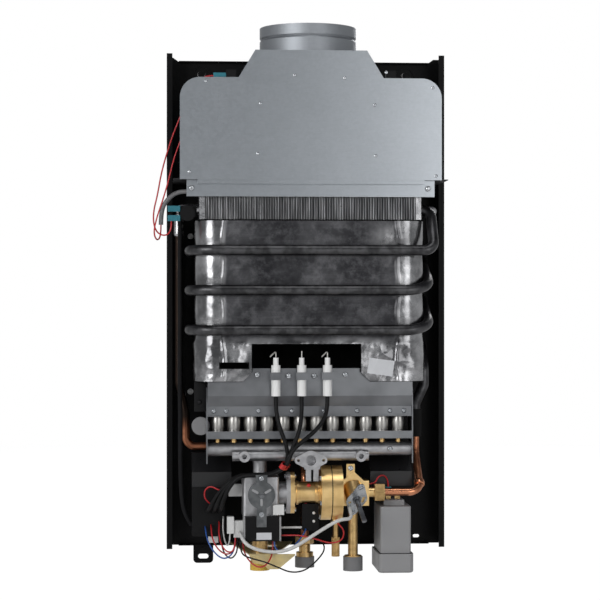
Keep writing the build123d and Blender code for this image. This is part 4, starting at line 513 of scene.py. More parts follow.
# %% High-tension leads
LEAD = 5.0
LEAD_STEP = LEAD + 0.6
FRONT_LEAD_Y = -137.2
CERAMIC_Y, CERAMIC_FOOT = -124.65, -114
SOCKET_X, SOCKET_STEP, SOCKET_Z = -109, -7, -254.2
IGNITER_FRONT = -86
lead_drops = [
    (-42, 226, [(-40, -127, -143), (-35, -130, -159), (-29, -131, -175), (-28, -131, -191)]),
    (-11, 228, [(-12, -129, -143), (-15, -133, -158), (-22, -136, -173), (-27, -136.5, -189)]),
    (20, 246, [
        (16, -130, -141), (6, -135, -154), (-9, -139.5, -166), (-23, -142, -177), (-28.5, -142, -193),
    ]),
]
for row, (start_x, length, drop) in enumerate(lead_drops):
    rank = len(lead_drops) - 1 - row
    y = FRONT_LEAD_Y + rank * LEAD_STEP
    socket_x = SOCKET_X + rank * SOCKET_STEP
    lay_wire(f"high_tension_lead_{row + 1}", "ht_leads", LEAD, lead_cover, [
        (start_x, CERAMIC_Y, CERAMIC_FOOT), (start_x, CERAMIC_Y, -128), *drop,
        (-36, y - 1, -202.2), (-53, y, -208), (-71, y, -207.5), (-88 - rank, y + 0.5, -209.2),
        (-100 - 3 * rank, y + 3, -224.2), (-106 - 6 * rank, y + 9, -242.2), (socket_x, -103, SOCKET_Z),
        (socket_x, IGNITER_FRONT, SOCKET_Z),
    ])
print("high-tension leads:", len(lead_drops))

# %% [markdown]
# At the left, two thin wires come down from the flue thermostat beside the case. One loops up into the
# lower boot of the overheat thermostat, the other into a grey sleeve. A dark sleeve runs down the left
# wall.

# %% Thermostat wires and sleeves
THIN = 1.8
SLEEVE = 5.5
lay_wire("flue_thermostat_wire", "thermostat_wires", THIN, red_cover, [
    (-117, -128.5, 269), (-129, -128.5, 269), (-142.5, -123, 254), (-152.5, -117, 230), (-163.5, -112, 204),
    (-172.5, -108, 178), (-179.5, -107, 152), (-183.5, -107, 128), (-188.5, -108, 108), (-188.5, -109, 92),
    (-183.5, -109, 81), (-173.5, -109, 78), (-167, -107.5, 85.2), (-167, -107.5, 96.2),
])
lay_wire("sleeved_thermostat_wire", "thermostat_wires", THIN, red_cover, [
    (-102, -128.5, 263), (-116, -128.5, 263), (-126.5, -127, 241), (-142.5, -124, 218), (-155.5, -122, 194),
    (-164.5, -120, 169), (-170.5, -119, 144), (-177.5, -118, 120), (-184.5, -118, 100), (-188.5, -115, 82),
    (-184.5, -106, 72), (-179.5, -98, 78), (-179.5, -98, 92),
])
lay_wire("grey_thermostat_sleeve", "wire_sleeves", SLEEVE, grey_sleeve, [
    (-133.5, -112, 132), (-147.5, -112, 132), (-160.5, -106, 131), (-171.5, -102, 123), (-179.5, -98, 110),
    (-179.5, -98, 92),
])
lay_wire("dark_wall_sleeve", "wire_sleeves", SLEEVE, dark_sleeve, [
    (-156, -65.5, 100), (-157, -66.5, 41.2), (-156, -65.5, -15.6), (-157, -66.5, -72.4),
    (-156, -65.5, -129.2), (-156, -66.5, -194), (-154.5, -67.5, -240), (-150, -67.5, -262),
    (-142, -66.5, -274),
])
print("thermostat wires and sleeves: 4")

# %% [markdown]
# The harness joins the igniter, the white connectors, the solenoid, the microswitch, the battery and the
# water valve. The wires are longer than they need be, so they hang in loops below the igniter and the
# solenoid.

# %% Harness
CABLE = 4.2
lay_wire("white_sensor_cable", "harness_white", CABLE, white_cover, [
    (-86, -125, -277), (-86, -140, -277), (-79, -149, -289), (-62, -151, -296), (-42, -151, -298),
    (-25, -151, -294), (-8, -150, -284), (14, -149, -270), (33, -151, -259), (49.9, -142.9, -259.9),
    (46.3, -129.4, -247.8),
])
lay_wire("white_igniter_wire", "harness_white", THIN, white_cover, [
    (-104, -86, -262), (-104, -96, -262), (-105, -102, -275), (-103, -107, -288), (-100, -115, -295),
    (-97, -122, -288), (-97, -122, -278),
])
covers = {"red": red_cover, "black": black_cover, "blue": blue_cover}
harness = [
    ("red", "upper", 62, [
        (-118, -86, -247), (-118, -95, -247), (-127, -98, -239), (-127, -99, -228), (-119, -101, -223),
        (-109, -105, -229), (-98, -105, -229),
    ]),
    ("red", "outer", 80, [
        (-119, -86, -272), (-119, -96, -272), (-118, -105, -286), (-112, -110, -298), (-102, -114, -305),
        (-94, -116.5, -302), (-90.5, -117, -292), (-90.5, -117, -283),
    ]),
    ("red", "inner", 78, [
        (-109, -86, -268), (-109, -97, -268), (-110, -108, -281), (-107, -117, -294), (-99, -122, -302),
        (-90.5, -123, -298), (-90.5, -123, -283),
    ]),
    ("red", "below", 90, [
        (-81.5, -117, -283), (-81.5, -117, -293), (-79, -126, -304), (-71, -134, -314), (-61, -138, -318),
        (-52, -137, -313), (-46.5, -131, -302), (-46, -127, -295), (-46, -127, -286),
    ]),
    ("red", "drain", 115, [
        (-38.5, -132, -280), (-28.5, -132, -280), (-15, -140, -279), (4, -144, -283), (22, -144, -289),
        (36, -141, -286), (40, -134, -275), (31, -125.7, -265.5), (31, -115.7, -265.5),
    ]),
    ("red", "battery", 45, [
        (97.4, -88.5, -226.5), (97.4, -88.5, -218.5), (91.4, -93.5, -211.5), (83.4, -99, -213.5),
        (80, -101, -222), (70, -101, -222),
    ]),
    ("black", "switch", 185, [
        (-84.5, -120, -283), (-84.5, -120, -293), (-83, -131, -303), (-72, -143, -306), (-57, -150, -309),
        (-42, -153, -315), (-26, -153, -322), (-9, -152, -320), (5, -149, -309), (16, -140, -297),
        (14, -127, -288), (5, -112, -287.3), (5, -112, -276.3),
    ]),
    ("black", "igniter", 80, [
        (-105, -86, -276), (-105, -95, -276), (-107, -100, -290), (-104, -106, -304), (-96, -111, -311),
        (-89, -115, -304), (-87.5, -117, -293), (-87.5, -117, -283),
    ]),
    ("blue", "igniter", 91, [
        (-126, -86, -274), (-126, -96, -274), (-124, -106, -288), (-116, -114, -302), (-105, -119, -310),
        (-95, -120.5, -305), (-90.5, -120, -294), (-90.5, -120, -283),
    ]),
    ("blue", "switch", 72, [
        (-44.5, -134, -286), (-44.5, -134, -295), (-36, -140, -300), (-25, -142, -295), (-15, -138, -286),
        (-6, -128, -274.3), (-6, -118, -274.3),
    ]),
]
for shade, place, length, route in harness:
    lay_wire(f"{shade}_wire_{place}", f"harness_{shade}", THIN, covers[shade], route)
print("harness wires:", len(harness) + 2)

# %% [markdown]
# ## Surfaces from arrays
# The small pieces are surfaces on a grid: one function gives all their points as an array, rows by columns,
# and another joins neighbours with quads. They could be modelled by hand from cylinders and cubes, but a
# formula keeps their sizes in millimetres and seats them on the CAD parts.

# %% A mesh from grids of points
MERGE_MM = 0.002
SHARP_ANGLE = math.radians(40)


def quads(rows, columns, wrap):
    """Four corners of every cell of a grid. With wrap, the last column joins the first."""
    across = np.arange(columns if wrap else columns - 1)
    down = np.arange(rows - 1)[:, None]
    after = (across + 1) % columns
    corners = [down * columns + across, down * columns + after, (down + 1) * columns + after,
               (down + 1) * columns + across]
    return np.stack(corners, axis=-1).reshape(-1, 4)


def make_piece(name, grids, finish, wrap=True, keep=None):
    """One mesh from several grids of points in millimetres: closed grids have seams and poles merged."""
    vertices, faces, start = [], [], 0
    for grid in grids:
        rows, columns = grid.shape[:2]
        cells = quads(rows, columns, wrap)
        vertices.append(grid.reshape(-1, 3))
        faces.append((cells if keep is None else cells[keep.ravel()]) + start)
        start += rows * columns
    used, corners = np.unique(np.concatenate(faces), return_inverse=True)
    mesh = bpy.data.meshes.new(name)
    points = np.concatenate(vertices)[used] * MM
    mesh.from_pydata(points.tolist(), [], corners.reshape(-1, 4).tolist())
    if wrap:
        shell = bmesh.new()
        shell.from_mesh(mesh)
        bmesh.ops.remove_doubles(shell, verts=shell.verts, dist=MERGE_MM * MM)
        shell.to_mesh(mesh)
        shell.free()
    mesh.polygons.foreach_set("use_smooth", np.full(len(mesh.polygons), True))
    mesh.set_sharp_from_angle(angle=SHARP_ANGLE)
    mesh.materials.append(finish.material)
    piece = add_object(name, mesh)
    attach(piece, "cabinet")
    return piece, used


def box_mm(node):
    """Lowest and highest corner of a CAD part, to a thousandth of a millimetre."""
    low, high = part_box(node)
    return np.round(np.array(low) / MM, 3), np.round(np.array(high) / MM, 3)


print("edges stay sharp from", round(math.degrees(SHARP_ANGLE)), "degrees")

# %% [markdown]
# Most small pieces are turned on a lathe or cut from plate. A turned piece carries a profile round an axis,
# and a plate carries a rounded outline through a few layers. Each has three axes of its own, so it can
# point anywhere.

# %% Turned pieces and plates
UP = (0, 0, 1)
RIGHT = (1, 0, 0)
LEFT = (-1, 0, 0)
TO_FRONT = (0, -1, 0)
SLAB_SIDES = 32


def axes_of(direction):
    """Two unit vectors across a direction and one along it, as a right-handed set."""
    along = np.array(direction, float) / np.linalg.norm(direction)
    helper = np.array([0.0, 0.0, 1.0]) if abs(along[2]) < 0.9 else np.array([0.0, 1.0, 0.0])
    first = np.cross(helper, along)
    first /= np.linalg.norm(first)
    return first, np.cross(along, first), along


def ring_angles(sides):
    """Equal angles round a full turn."""
    return np.linspace(0, 2 * np.pi, sides, endpoint=False)


def turned(profile, centre, direction, sides=32):
    """Profile of (height, radius) carried round an axis: centre + height * axis + radius * (cos, sin)."""
    first, second, along = axes_of(direction)
    height, radius = np.array(profile, float).T
    angle = ring_angles(sides)
    ring = np.cos(angle)[:, None] * first + np.sin(angle)[:, None] * second
    return np.array(centre, float) + height[:, None, None] * along + radius[:, None, None] * ring


def slab(size, centre, corner, edge, direction=UP):
    """A plate with rounded outline: layers of the outline, pulled in at the edges and closed to a point."""
    width, depth, height = size
    first, second, along = axes_of(direction)
    angle = ring_angles(SLAB_SIDES) + np.pi / SLAB_SIDES
    middle = np.stack([np.sign(np.cos(angle)), np.sign(np.sin(angle))], axis=-1)
    middle *= np.array([width, depth]) / 2 - corner
    arc = np.stack([np.cos(angle), np.sin(angle)], axis=-1)
    layers = []
    half = height / 2
    for level, inset, grow in (
        (-half, edge, 0.0), (-half, edge, 1.0), (edge - half, 0.0, 1.0),
        (half - edge, 0.0, 1.0), (half, edge, 1.0), (half, edge, 0.0),
    ):
        flat = grow * (middle + (corner - inset) * arc)
        layers.append(flat[:, :1] * first + flat[:, 1:] * second + level * along)
    return np.array(layers) + np.array(centre, float)


def dome(centre, direction, radius, height, sides=16):
    """A low button on a flat foot: radius falls as the cosine while the height rises as the sine."""
    lift = np.linspace(0, np.pi / 2, 6)
    profile = np.stack([height * np.sin(lift), radius * np.cos(lift)], axis=-1)
    return turned(np.concatenate([[[0.0, 0.0]], profile]), centre, direction, sides)


print("plates have", SLAB_SIDES, "sides")

# %% [markdown]
# ## Foil wrap of the chamber
# The tinned sheet bulges between the turns of the coil and is pulled tight under them, and it crumples most
# at the corners and along its lower edge. A cloth simulation could crumple it, but a formula says just
# where it is loose. The surface goes round the chamber's rounded outline with distance s, and up it with
# height z.

# %% The chamber's outline
shell_low, shell_high = box_mm("combustion_shell")
CHAMBER_HALF_WIDTH = shell_high[0]
CHAMBER_FRONT = shell_low[1]
CORNER = 25.0


def chamber_outline(s):
    """Point and outward normal at distance s along the outline, from its front middle round a corner."""
    flat = CHAMBER_HALF_WIDTH - CORNER
    quarter = CORNER * np.pi / 2
    bend = np.clip((np.abs(s) - flat) / quarter, 0, 1) * np.pi / 2
    side = np.clip(np.abs(s) - flat - quarter, 0, None)
    x = np.minimum(np.abs(s), flat) + CORNER * np.sin(bend)
    y = CHAMBER_FRONT + CORNER * (1 - np.cos(bend)) + side
    sign = np.sign(s)
    return np.stack([sign * x, y], axis=-1), np.stack([sign * np.sin(bend), -np.cos(bend)], axis=-1)


print("chamber front at", CHAMBER_FRONT, "mm")

# %% [markdown]
# The sheet is pushed out by a sum of ridged waves, times a mask that is zero under each turn of the coil.
# It is loose at the corners, along its lower edge and in one blister at the upper right.

# %% How far the sheet stands off
COIL_TURNS = np.array([61.0, 13.0, -35.0])
TURN_GRIP, TURN_RELEASE = 6.5, 9.0
CORNER_STARTS, CORNER_OVER = 101.0, 9.0
LOW_EDGE_STARTS, LOW_EDGE_OVER = -43.0, 10.0
BLISTER_S, BLISTER_Z, BLISTER_SIZE = 96.0, 72.0, (16.0, 15.0)
LONG_CREASE_S, LONG_CREASE_WIDTH = 105.0, 2.2


def ramp(distance, start, over):
    """Zero up to start, then rising to one over a further distance."""
    return np.clip((distance - start) / over, 0, 1)


def hill(offset, width):
    """A smooth hill that is one in its middle: e to the power of -(offset / width)^2."""
    return np.exp(-((offset / width) ** 2))


def ridges(s, z, seed, size, count=9):
    """Ridged waves: one minus the size of a sine, in turned directions with seeded phases, averaged."""
    random = np.random.default_rng(seed)
    total = np.zeros_like(s + z)
    for turn, phase, stretch in zip(
        random.uniform(0, np.pi, count), random.uniform(0, 6.3, count), random.uniform(0.7, 1.6, count)
    ):
        wave = (np.cos(turn) * s + np.sin(turn) * z) / (size * stretch) * np.pi
        bent = wave + phase + 0.8 * np.sin(0.043 * s + 0.061 * z + phase)
        total += 1 - np.abs(np.sin(bent))
    return total / count


def foil_push(s, z):
    """How far the sheet stands off the chamber, and how loose it is: ridges, held down under each turn."""
    from_turn = np.abs(z[..., None] - COIL_TURNS).min(axis=-1)
    free = ramp(from_turn, TURN_GRIP, TURN_RELEASE)
    near_corner = ramp(np.abs(s), CORNER_STARTS, CORNER_OVER)
    near_low = ramp(-z, -LOW_EDGE_STARTS, LOW_EDGE_OVER)
    blister = hill(s - BLISTER_S, BLISTER_SIZE[0]) * hill(z - BLISTER_Z, BLISTER_SIZE[1])
    swell = 0.7 * ridges(s, z, 4, 34.0) + 0.3 * ridges(s, z, 9, 13.0)
    long_crease = hill(np.abs(s) - LONG_CREASE_S - 1.5 * np.sin(0.11 * z), LONG_CREASE_WIDTH)
    rise = 0.25 + 0.8 * near_corner * swell + 5.0 * np.maximum(near_low, 0.7 * blister) * swell ** 1.5
    slack = np.maximum.reduce([near_corner, near_low, blister])
    return 0.1 + free * (rise + 0.9 * long_crease), slack


print("the coil holds the sheet at heights", COIL_TURNS.tolist())

# %% [markdown]
# The grid has a point every millimetre. Cells over the window, its flared foot and the vent slot are left
# out, which cuts the openings without any Boolean. How loose the sheet is goes into an attribute of the
# mesh, which the finish reads.

# %% Foil wrap
FOIL_REACH = 216.0
FOIL_LOW = shell_low[2] + 0.5
FOIL_HIGH = shell_high[2] - 1.5
WINDOW_LEFT, WINDOW_RIGHT, WINDOW_TOP = -71.0, 61.0, -51.0
FLARE_TOP, FLARE_HALF = -85.0, 65.0
VENT_S, VENT_Z = -92.0, -77.5
VENT_HALF_WIDTH, VENT_HALF_HEIGHT = 18.0, 4.0
s_grid, z_grid = np.meshgrid(np.arange(-FOIL_REACH, FOIL_REACH + 0.5), np.arange(FOIL_LOW, FOIL_HIGH + 0.5))
outline, outward = chamber_outline(s_grid)
push, loose_foil = foil_push(s_grid, z_grid)
foil = np.dstack([outline + outward * push[..., None], z_grid])
cell_s = (s_grid[:-1, :-1] + s_grid[1:, 1:]) / 2
cell_z = (z_grid[:-1, :-1] + z_grid[1:, 1:]) / 2
window = (cell_s > WINDOW_LEFT) & (cell_s < WINDOW_RIGHT) & (cell_z < WINDOW_TOP)
from_window_middle = np.abs(cell_s - (WINDOW_LEFT + WINDOW_RIGHT) / 2)
flare = (from_window_middle < FLARE_HALF + FLARE_TOP - cell_z) & (cell_z < FLARE_TOP)
vent = (np.abs(cell_s - VENT_S) < VENT_HALF_WIDTH) & (np.abs(cell_z - VENT_Z) < VENT_HALF_HEIGHT)
wrap_piece, wrap_points = make_piece(
    "chamber_foil", [foil], crumpled_tin, wrap=False, keep=~(window | flare | vent)
)
looseness = wrap_piece.data.attributes.new("loose", "FLOAT", "POINT")
looseness.data.foreach_set("value", loose_foil.ravel()[wrap_points])
print("foil wrap:", len(wrap_points), "points, pushed out by up to", round(float(push.max()), 1), "mm")

# %% [markdown]
# ## Burner mouths
# Over the air tray each burner ends in a bright, pressed mouth, wider in its middle than at its ends. A
# sphere would be too round, so it is a turned piece whose radius follows half a sine wave. A narrow seam
# runs up its front.

# %% Burner mouths
BURNERS = 12
BURNER_PITCH = 20.0
BURNER_MIDDLE = -1.5
MOUTH_Y, MOUTH_FOOT = -97.4, -157.0
MOUTH_STARTS, MOUTH_LENGTH = 0.3, 18.2
MOUTH_END_RADIUS, MOUTH_SWELL = 7.65, 0.75
SEAM_SIZE = (1.0, 0.8, 16.0)
SEAM_Y, SEAM_Z = -106.0, -147.5
burner_xs = BURNER_MIDDLE + (np.arange(BURNERS) - (BURNERS - 1) / 2) * BURNER_PITCH
share = np.linspace(0, 1, 13)
mouth_radius = MOUTH_END_RADIUS + MOUTH_SWELL * np.sin(np.pi * share)
mouth_profile = np.stack([MOUTH_STARTS + MOUTH_LENGTH * share, mouth_radius], axis=-1)
mouths = [turned(mouth_profile, (x, MOUTH_Y, MOUTH_FOOT), UP) for x in burner_xs]
seams = [slab(SEAM_SIZE, (x, SEAM_Y, SEAM_Z), 0.3, 0.2) for x in burner_xs]
make_piece("burner_mouths", mouths, bright_steel)
make_piece("burner_mouth_seams", seams, bright_steel)
print("burner mouths:", len(mouths))

# %% [markdown]
# ## Fasteners and marks
# Spot marks show on the shield where brackets are fixed behind it, each a low button on the sheet.
# Cross-headed screws hold the sheets. Their heads are a height over a disc, so the cross is cut by the
# formula. Thin black discs close the two hanging holes.

# %% Spot marks, screws and hole covers
SHIELD_FRONT = box_mm("flue_shield")[0][1]
PANEL_SCREW_Y, PANEL_SCREW_Z = -110, -132.5
HANGING_X, HANGING_Y, HANGING_Z = 129, -1.4, 285
panel_screw_xs = (-116, -101, -62, -22, 17, 57, 97, 114)
marks = [(-126, 262), (-20, 270), (40, 267), (-61, 236), (76, 235), (146, 256), (90, 274), (-64, 176),
         (77, 174), (-146, 154), (150, 150)]
head_places = [(-143, -130, 135), (141, -130, 135), (-64, -121, -88.5), (42, -121, -88.5), (-26.5, -122, -90),
               (4.5, -122, -90), (97.5, -107.9, -179), (48, -125, -201), (-60, -143.5, -211)]


def pan_head(centre, radius, height):
    """A screw head to the front: height * (1 - (r / radius)^4), less a cross of two crossing bars."""
    bar_half, bar_slope, bar_reach = 0.24 * radius, 0.08 * radius, 0.62 * radius
    ring = np.linspace(radius, 0, 15)[:, None]
    angle = ring_angles(40) + 0.5
    x, z = ring * np.cos(angle), ring * np.sin(angle)
    turned_x, turned_z = x * 0.8 + z * 0.6, z * 0.8 - x * 0.6
    narrow = np.minimum(np.abs(turned_x), np.abs(turned_z))
    wide = np.maximum(np.abs(turned_x), np.abs(turned_z))
    cross = np.clip((bar_half - narrow) / bar_slope, 0, 1) * (wide < bar_reach)
    out = height * (1 - (ring / radius) ** 4) - 0.5 * height * cross
    return np.stack([x, -out, z], axis=-1) + np.array(centre, float)


spots = [dome((x, SHIELD_FRONT, z), TO_FRONT, 2.1, 0.9) for x, z in marks]
make_piece("shield_spot_marks", spots, zinc_plate)
screw_heads = [pan_head(place, 3.2, 1.1) for place in head_places]
screw_heads += [pan_head((x, PANEL_SCREW_Y, PANEL_SCREW_Z), 3.0, 2.0) for x in panel_screw_xs]
make_piece("screw_heads", screw_heads, zinc_plate)
hole_covers = [dome((x, HANGING_Y, HANGING_Z), TO_FRONT, 4.45, 0.3, 24) for x in (-HANGING_X, HANGING_X)]
make_piece("hanging_hole_covers", hole_covers, enamel)
print("spot marks:", len(spots), "screw heads:", len(screw_heads))

# %% [markdown]
# The brass housing is closed by hexagon screws round its rim, with a gasket in the joint, and a drop of red
# lacquer locks the barrel. A hexagon is a turned piece with six sides, so no other function is needed.

# %% Brass housing
VALVE_Y, VALVE_Z = -110.0, -231.0
HOUSING_JOINT = box_mm("water_valve_block")[0][0]
RIM_FACE, RIM_RADIUS = 12.0, 29.5
LACQUER_PLACE, LACQUER_SIDE = (-2.2, -118.9, -221.6), (0, -0.69, 0.72)
hexagon_profile = [(0, 0), (0, 3.0), (1.6, 3.0), (2.2, 2.4), (2.2, 0)]
gasket_profile = [(-0.5, 32.9), (-0.5, 33.5), (0.5, 33.5), (0.5, 32.9)]
rim_screws = []
for angle in np.radians([20, 80, 140, 200, 260, 320]):
    y = VALVE_Y + RIM_RADIUS * math.cos(angle)
    z = VALVE_Z + RIM_RADIUS * math.sin(angle)
    rim_screws.append(turned(hexagon_profile, (RIM_FACE, y, z), LEFT, 6))
make_piece("housing_screws", rim_screws, zinc_plate)
gasket = turned(gasket_profile, (HOUSING_JOINT, VALVE_Y, VALVE_Z), RIGHT, 64)
make_piece("housing_gasket", [gasket], pipe_foam)
lacquer = dome(LACQUER_PLACE, LACQUER_SIDE, 2.6, 1.6)
make_piece("lacquer_drop", [lacquer], red_plastic)
print("housing screws:", len(rim_screws))

# %% [markdown]
# Two raised rings go round the brass barrel, a nut closes the hot pipe, and collars mark where pipes are
# swaged or brazed. They are all short turned pieces, told apart by their profiles of height and radius.

# %% Rings and nuts
ring_profile = [(-1.6, 13.0), (-1.2, 14.6), (1.2, 14.6), (1.6, 13.0)]
nut_profile = [(-5, 7.1), (-5, 10.2), (-4, 11.4), (4, 11.4), (5, 10.2), (5, 7.1)]
swage_profile = [(-3.5, 4.8), (-3, 6.2), (-1, 6.6), (1, 6.6), (3, 6.2), (3.5, 4.8)]
braze_profile = [(-4, 5.1), (-3, 6.0), (0, 6.6), (3, 6.0), (4, 5.1)]
barrel_rings = [turned(ring_profile, (x, VALVE_Y, VALVE_Z), RIGHT, 48) for x in (-15.5, 7.5)]
make_piece("barrel_rings", barrel_rings, cast_brass)
make_piece("hot_union_nut", [turned(nut_profile, (-4, -75, -292), UP, 6)], turned_brass)
make_piece("pipe_swage", [turned(swage_profile, (134, -99.5, -221.2), (0, 48, 45))], copper)
make_piece("braze_collar", [turned(braze_profile, (-158, -45, 84), UP)], plate_tin)
print("barrel rings:", len(barrel_rings))

# %% [markdown]
# ## Bracket apron and labels
# The plated bracket under the gas pipe is bent down in an apron at its edge, a flat sheet with a cut
# outline. One white label lies on the solenoid. The other is stuck to the foil and follows its creases,
# because it takes its height from the same function as the foil.

# %% Bracket apron and labels
APRON_FRONT, APRON_THICK = -127.6, 1.5
solenoid_low, solenoid_high = box_mm("gas_solenoid")
LABEL_WIDTH, LABEL_HEIGHT = 31.0, 19.0
LABEL_X, LABEL_Z = 84.5, -79.5
LABEL_TURN = math.radians(-8)
LABEL_LIFT = 0.7
apron = [(-74.5, -303.0), (-71, -313), (-55, -316), (-52, -321), (-39, -321), (-19, -304.5), (-19, -303.0)]


def flat_sheet(outline, front, thick):
    """A flat sheet to the front: its outline (x, z) at two depths, each closed to the outline's middle."""
    corners = np.array(outline, float)
    loops = [(0.0, front), (1.0, front), (1.0, front + thick), (0.0, front + thick)]
    rows = []
    for grow, depth in loops:
        flat = corners.mean(axis=0) + grow * (corners - corners.mean(axis=0))
        rows.append(np.stack([flat[:, 0], np.full(len(flat), depth), flat[:, 1]], axis=-1))
    return np.array(rows)


make_piece("bracket_apron", [flat_sheet(apron, APRON_FRONT, APRON_THICK)], yellow_plate)
solenoid_label = slab((18, 8.5, 0.3), (-57.0, solenoid_low[1] - 0.2, -280.0), 0.5, 0.1, TO_FRONT)
make_piece("solenoid_label", [solenoid_label], blank_label)
across, up = np.meshgrid(np.linspace(-0.5, 0.5, 48) * LABEL_WIDTH, np.linspace(-0.5, 0.5, 30) * LABEL_HEIGHT)
label_x = LABEL_X + across * math.cos(LABEL_TURN) - up * math.sin(LABEL_TURN)
label_z = LABEL_Z + across * math.sin(LABEL_TURN) + up * math.cos(LABEL_TURN)
label_y = CHAMBER_FRONT - foil_push(label_x, label_z)[0] - LABEL_LIFT
make_piece("foil_label", [np.dstack([label_x, label_y, label_z])], blank_label, wrap=False)
print("foil label:", LABEL_WIDTH, "by", LABEL_HEIGHT, "mm")

# %% [markdown]
# ## Solenoid and switch trim
# Grey strips run down both sides of the solenoid, two pale dots show on the microswitch, and a pale strap
# reaches from one to the other. They are plates and buttons, and most are seated on the boxes of CAD parts.

# %% Solenoid and switch trim
STRIP_WIDTH, STRIP_OVERLAP, STRIP_OUT = 2.2, 0.2, 0.9
solenoid_middle = (solenoid_low + solenoid_high) / 2
solenoid_size = solenoid_high - solenoid_low
strip_size = (STRIP_WIDTH, solenoid_size[1] + STRIP_OVERLAP, solenoid_size[2])
strip_xs = (solenoid_low[0] - STRIP_OUT, solenoid_high[0] + STRIP_OUT)
edge_strips = [slab(strip_size, (x, solenoid_middle[1], solenoid_middle[2]), 0.4, 0.2) for x in strip_xs]
make_piece("solenoid_edges", edge_strips, grey_plastic)
switch_front = box_mm("micro_switch")[0][1]
switch_dots = [dome((4.0, switch_front, z), TO_FRONT, 1.7, 0.5) for z in (-255, -265)]
make_piece("switch_dots", switch_dots, pale_plastic)
strap = slab((28.5, 2.4, 2.4), (-24.2, -114.5, -272.5), 0.8, 0.3)
make_piece("switch_strap", [strap], pale_plastic)
print("edge strips:", len(edge_strips), "switch dots:", len(switch_dots))

# %% [markdown]
# ## Tie, clips and side bracket
# A red tie holds the high-tension leads together. It is an oval loop with a flat section, because a torus
# would have a round one. Two pale clips stand on the tray, and a dark bracket with its screw stands beside
# the burner.

# %% Tie, clips and side bracket
TIE_PLACE, TIE_ALONG = (-32.2, -135.2, -196.8), (-8.2, 3.4, -11.6)
CLIP_X, CLIP_FOOT = -143, -1
BRACKET_PLACE = (-132.2, -101, -115.5)


def band(centre, direction, half_long, half_short, width, thick=1.0):
    """A tie: an oval loop across a direction, carried through four corners of its flat section."""
    first, second, along = axes_of(direction)
    angle = ring_angles(48)
    section = [(-width / 2, 0), (-width / 2, thick), (width / 2, thick), (width / 2, 0), (-width / 2, 0)]
    rows = [
        (half_long + out) * np.cos(angle)[:, None] * first
        + (half_short + out) * np.sin(angle)[:, None] * second + level * along
        for level, out in section
    ]
    return np.array(rows) + np.array(centre, float)


lead_tie = band(TIE_PLACE, TIE_ALONG, half_long=10.4, half_short=3.6, width=6.0)
make_piece("red_lead_tie", [lead_tie], red_plastic)
clip_profile = [(0, 2.2), (22, 2.2), (22.5, 3.6), (26, 3.6), (27, 2.0), (27, 0)]
clips = [turned(clip_profile, (CLIP_X, CLIP_FOOT, z), TO_FRONT, 20) for z in (80.7, -112.6)]
make_piece("tray_clips", clips, pale_plastic)
side_bracket = slab((14.5, 1.6, 36), BRACKET_PLACE, 0.6, 0.2)
make_piece("side_bracket", [side_bracket], black_plastic)
bracket_screw = dome((-133, -101.8, -122), TO_FRONT, 3.0, 1.8)
make_piece("side_bracket_screw", [bracket_screw], dark_zinc_and_shade)
print("clips:", len(clips))

# %% [markdown]
# ## Floor
# The photograph is cut out on white. The floor is a round sheet under the heater, low enough for the caps
# and the battery lid to come down. To the camera it is mostly a white that needs no light, and the rest of
# it takes the heater's shadow. From below it is see-through.

# %% Floor
FLOOR_LEVEL = -385.0
FLOOR_SIDES = 64
FLOOR_RINGS = (3000.0, 1600.0, 800.0, 300.0, 0.0)
floor_profile = [(FLOOR_LEVEL, radius) for radius in FLOOR_RINGS]
floor_points = turned(floor_profile, (0, 0, 0), UP, FLOOR_SIDES).reshape(-1, 3) * MM
floor_mesh = bpy.data.meshes.new("studio_floor")
floor_mesh.from_pydata(floor_points.tolist(), [], quads(len(FLOOR_RINGS), FLOOR_SIDES, True).tolist())
studio_floor = add_object("studio_floor", floor_mesh)
paper = Finish("studio_paper")
paper.surface(Base_Color=colour(0.86, 0.86, 0.86), Roughness=0.9)
white_share = 0.88 * paper.node("LightPath", out="Is Camera Ray") + 0.2 * paper.seen_in_metal()
white = paper.node("Emission", {}, {"Color": colour(1, 1, 1), "Strength": 1.1})
lit = Value(paper, paper.shader.outputs[0])
from_above = paper.node("MixShader", {}, {0: white_share, 1: lit, 2: white})
from_below = paper.node("NewGeometry", out="Backfacing")
clear = paper.node("BsdfTransparent")
both_sides = paper.node("MixShader", {}, {0: from_below, 1: from_above, 2: clear})
paper.join(paper.tree.nodes["Material Output"].inputs["Surface"], both_sides)
floor_mesh.materials.append(paper.material)
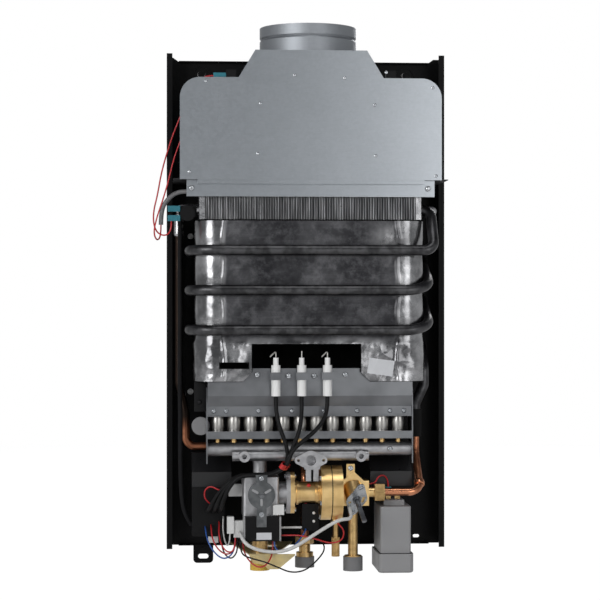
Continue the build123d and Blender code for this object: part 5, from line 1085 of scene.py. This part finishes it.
print("floor:", FLOOR_RINGS[0] * MM, "m in radius")

# %% [markdown]
# ## Lamps
# Large lamps at both sides in front give the soft light and the long highlights on the bent sheet, a weak
# one above fills in the hood, and a fourth lights the back. Places are in metres and powers in watts.

# %% Lamps
HEATER_MIDDLE = (0, -0.1, 0)
HOOD_FOOT = (0, -0.1, 0.1)
lamps = [
    ("left_lamp", (-1.5, -2.0, 0.55), HEATER_MIDDLE, 1.2, 27),
    ("right_lamp", (1.05, -2.3, 0.3), HEATER_MIDDLE, 1.2, 10),
    ("top_lamp", (0.1, -0.8, 1.7), HOOD_FOOT, 0.8, 5),
    ("back_lamp", (0.9, 2.2, 1.2), HEATER_MIDDLE, 1.0, 22),
]
for name, place, target, size, power in lamps:
    light = bpy.data.lights.new(name, "AREA")
    light.shape = "SQUARE"
    light.size = size
    light.energy = power
    lamp = add_object(name, light)
    lamp.location = place
    lamp.rotation_euler = (Vector(target) - Vector(place)).to_track_quat("-Z", "Y").to_euler()
print("lamps:", len(lamps))

# %% [markdown]
# ## Room
# To the camera the room is white. To the rest it is a dim studio: pale sides, a darker front and a dark
# ceiling, which draw the soft bands on bent sheet. Metal also sees a white screen straight behind the
# heater.

# %% Room
world = bpy.data.worlds.new("studio_room")
world.use_nodes = True
bpy.context.scene.world = world
room = Tree(world.node_tree)
towards = room.node("TexCoord", out="Generated")
backward = room.node("SeparateXYZ", {}, {0: towards}, out="Y")
upward = room.node("SeparateXYZ", {}, {0: towards}, out="Z")
in_front = room.step(0.0 - backward, 0.3, 0.95)
overhead = room.step(upward, 0.1, 0.7)
walls = room.mix(in_front, colour(0.45, 0.455, 0.46), colour(0.28, 0.288, 0.295))
room_light = room.mix(overhead, walls, colour(0.10, 0.10, 0.11))
behind = room.step(backward, 0.85, 0.97)
screen = room.seen_in_metal() * behind + room.node("LightPath", out="Is Camera Ray")
seen = room.mix(screen, room_light, colour(1, 1, 1))
room.join(room.tree.nodes["Background"].inputs["Color"], seen)
print("room:", len(room.tree.nodes), "nodes")
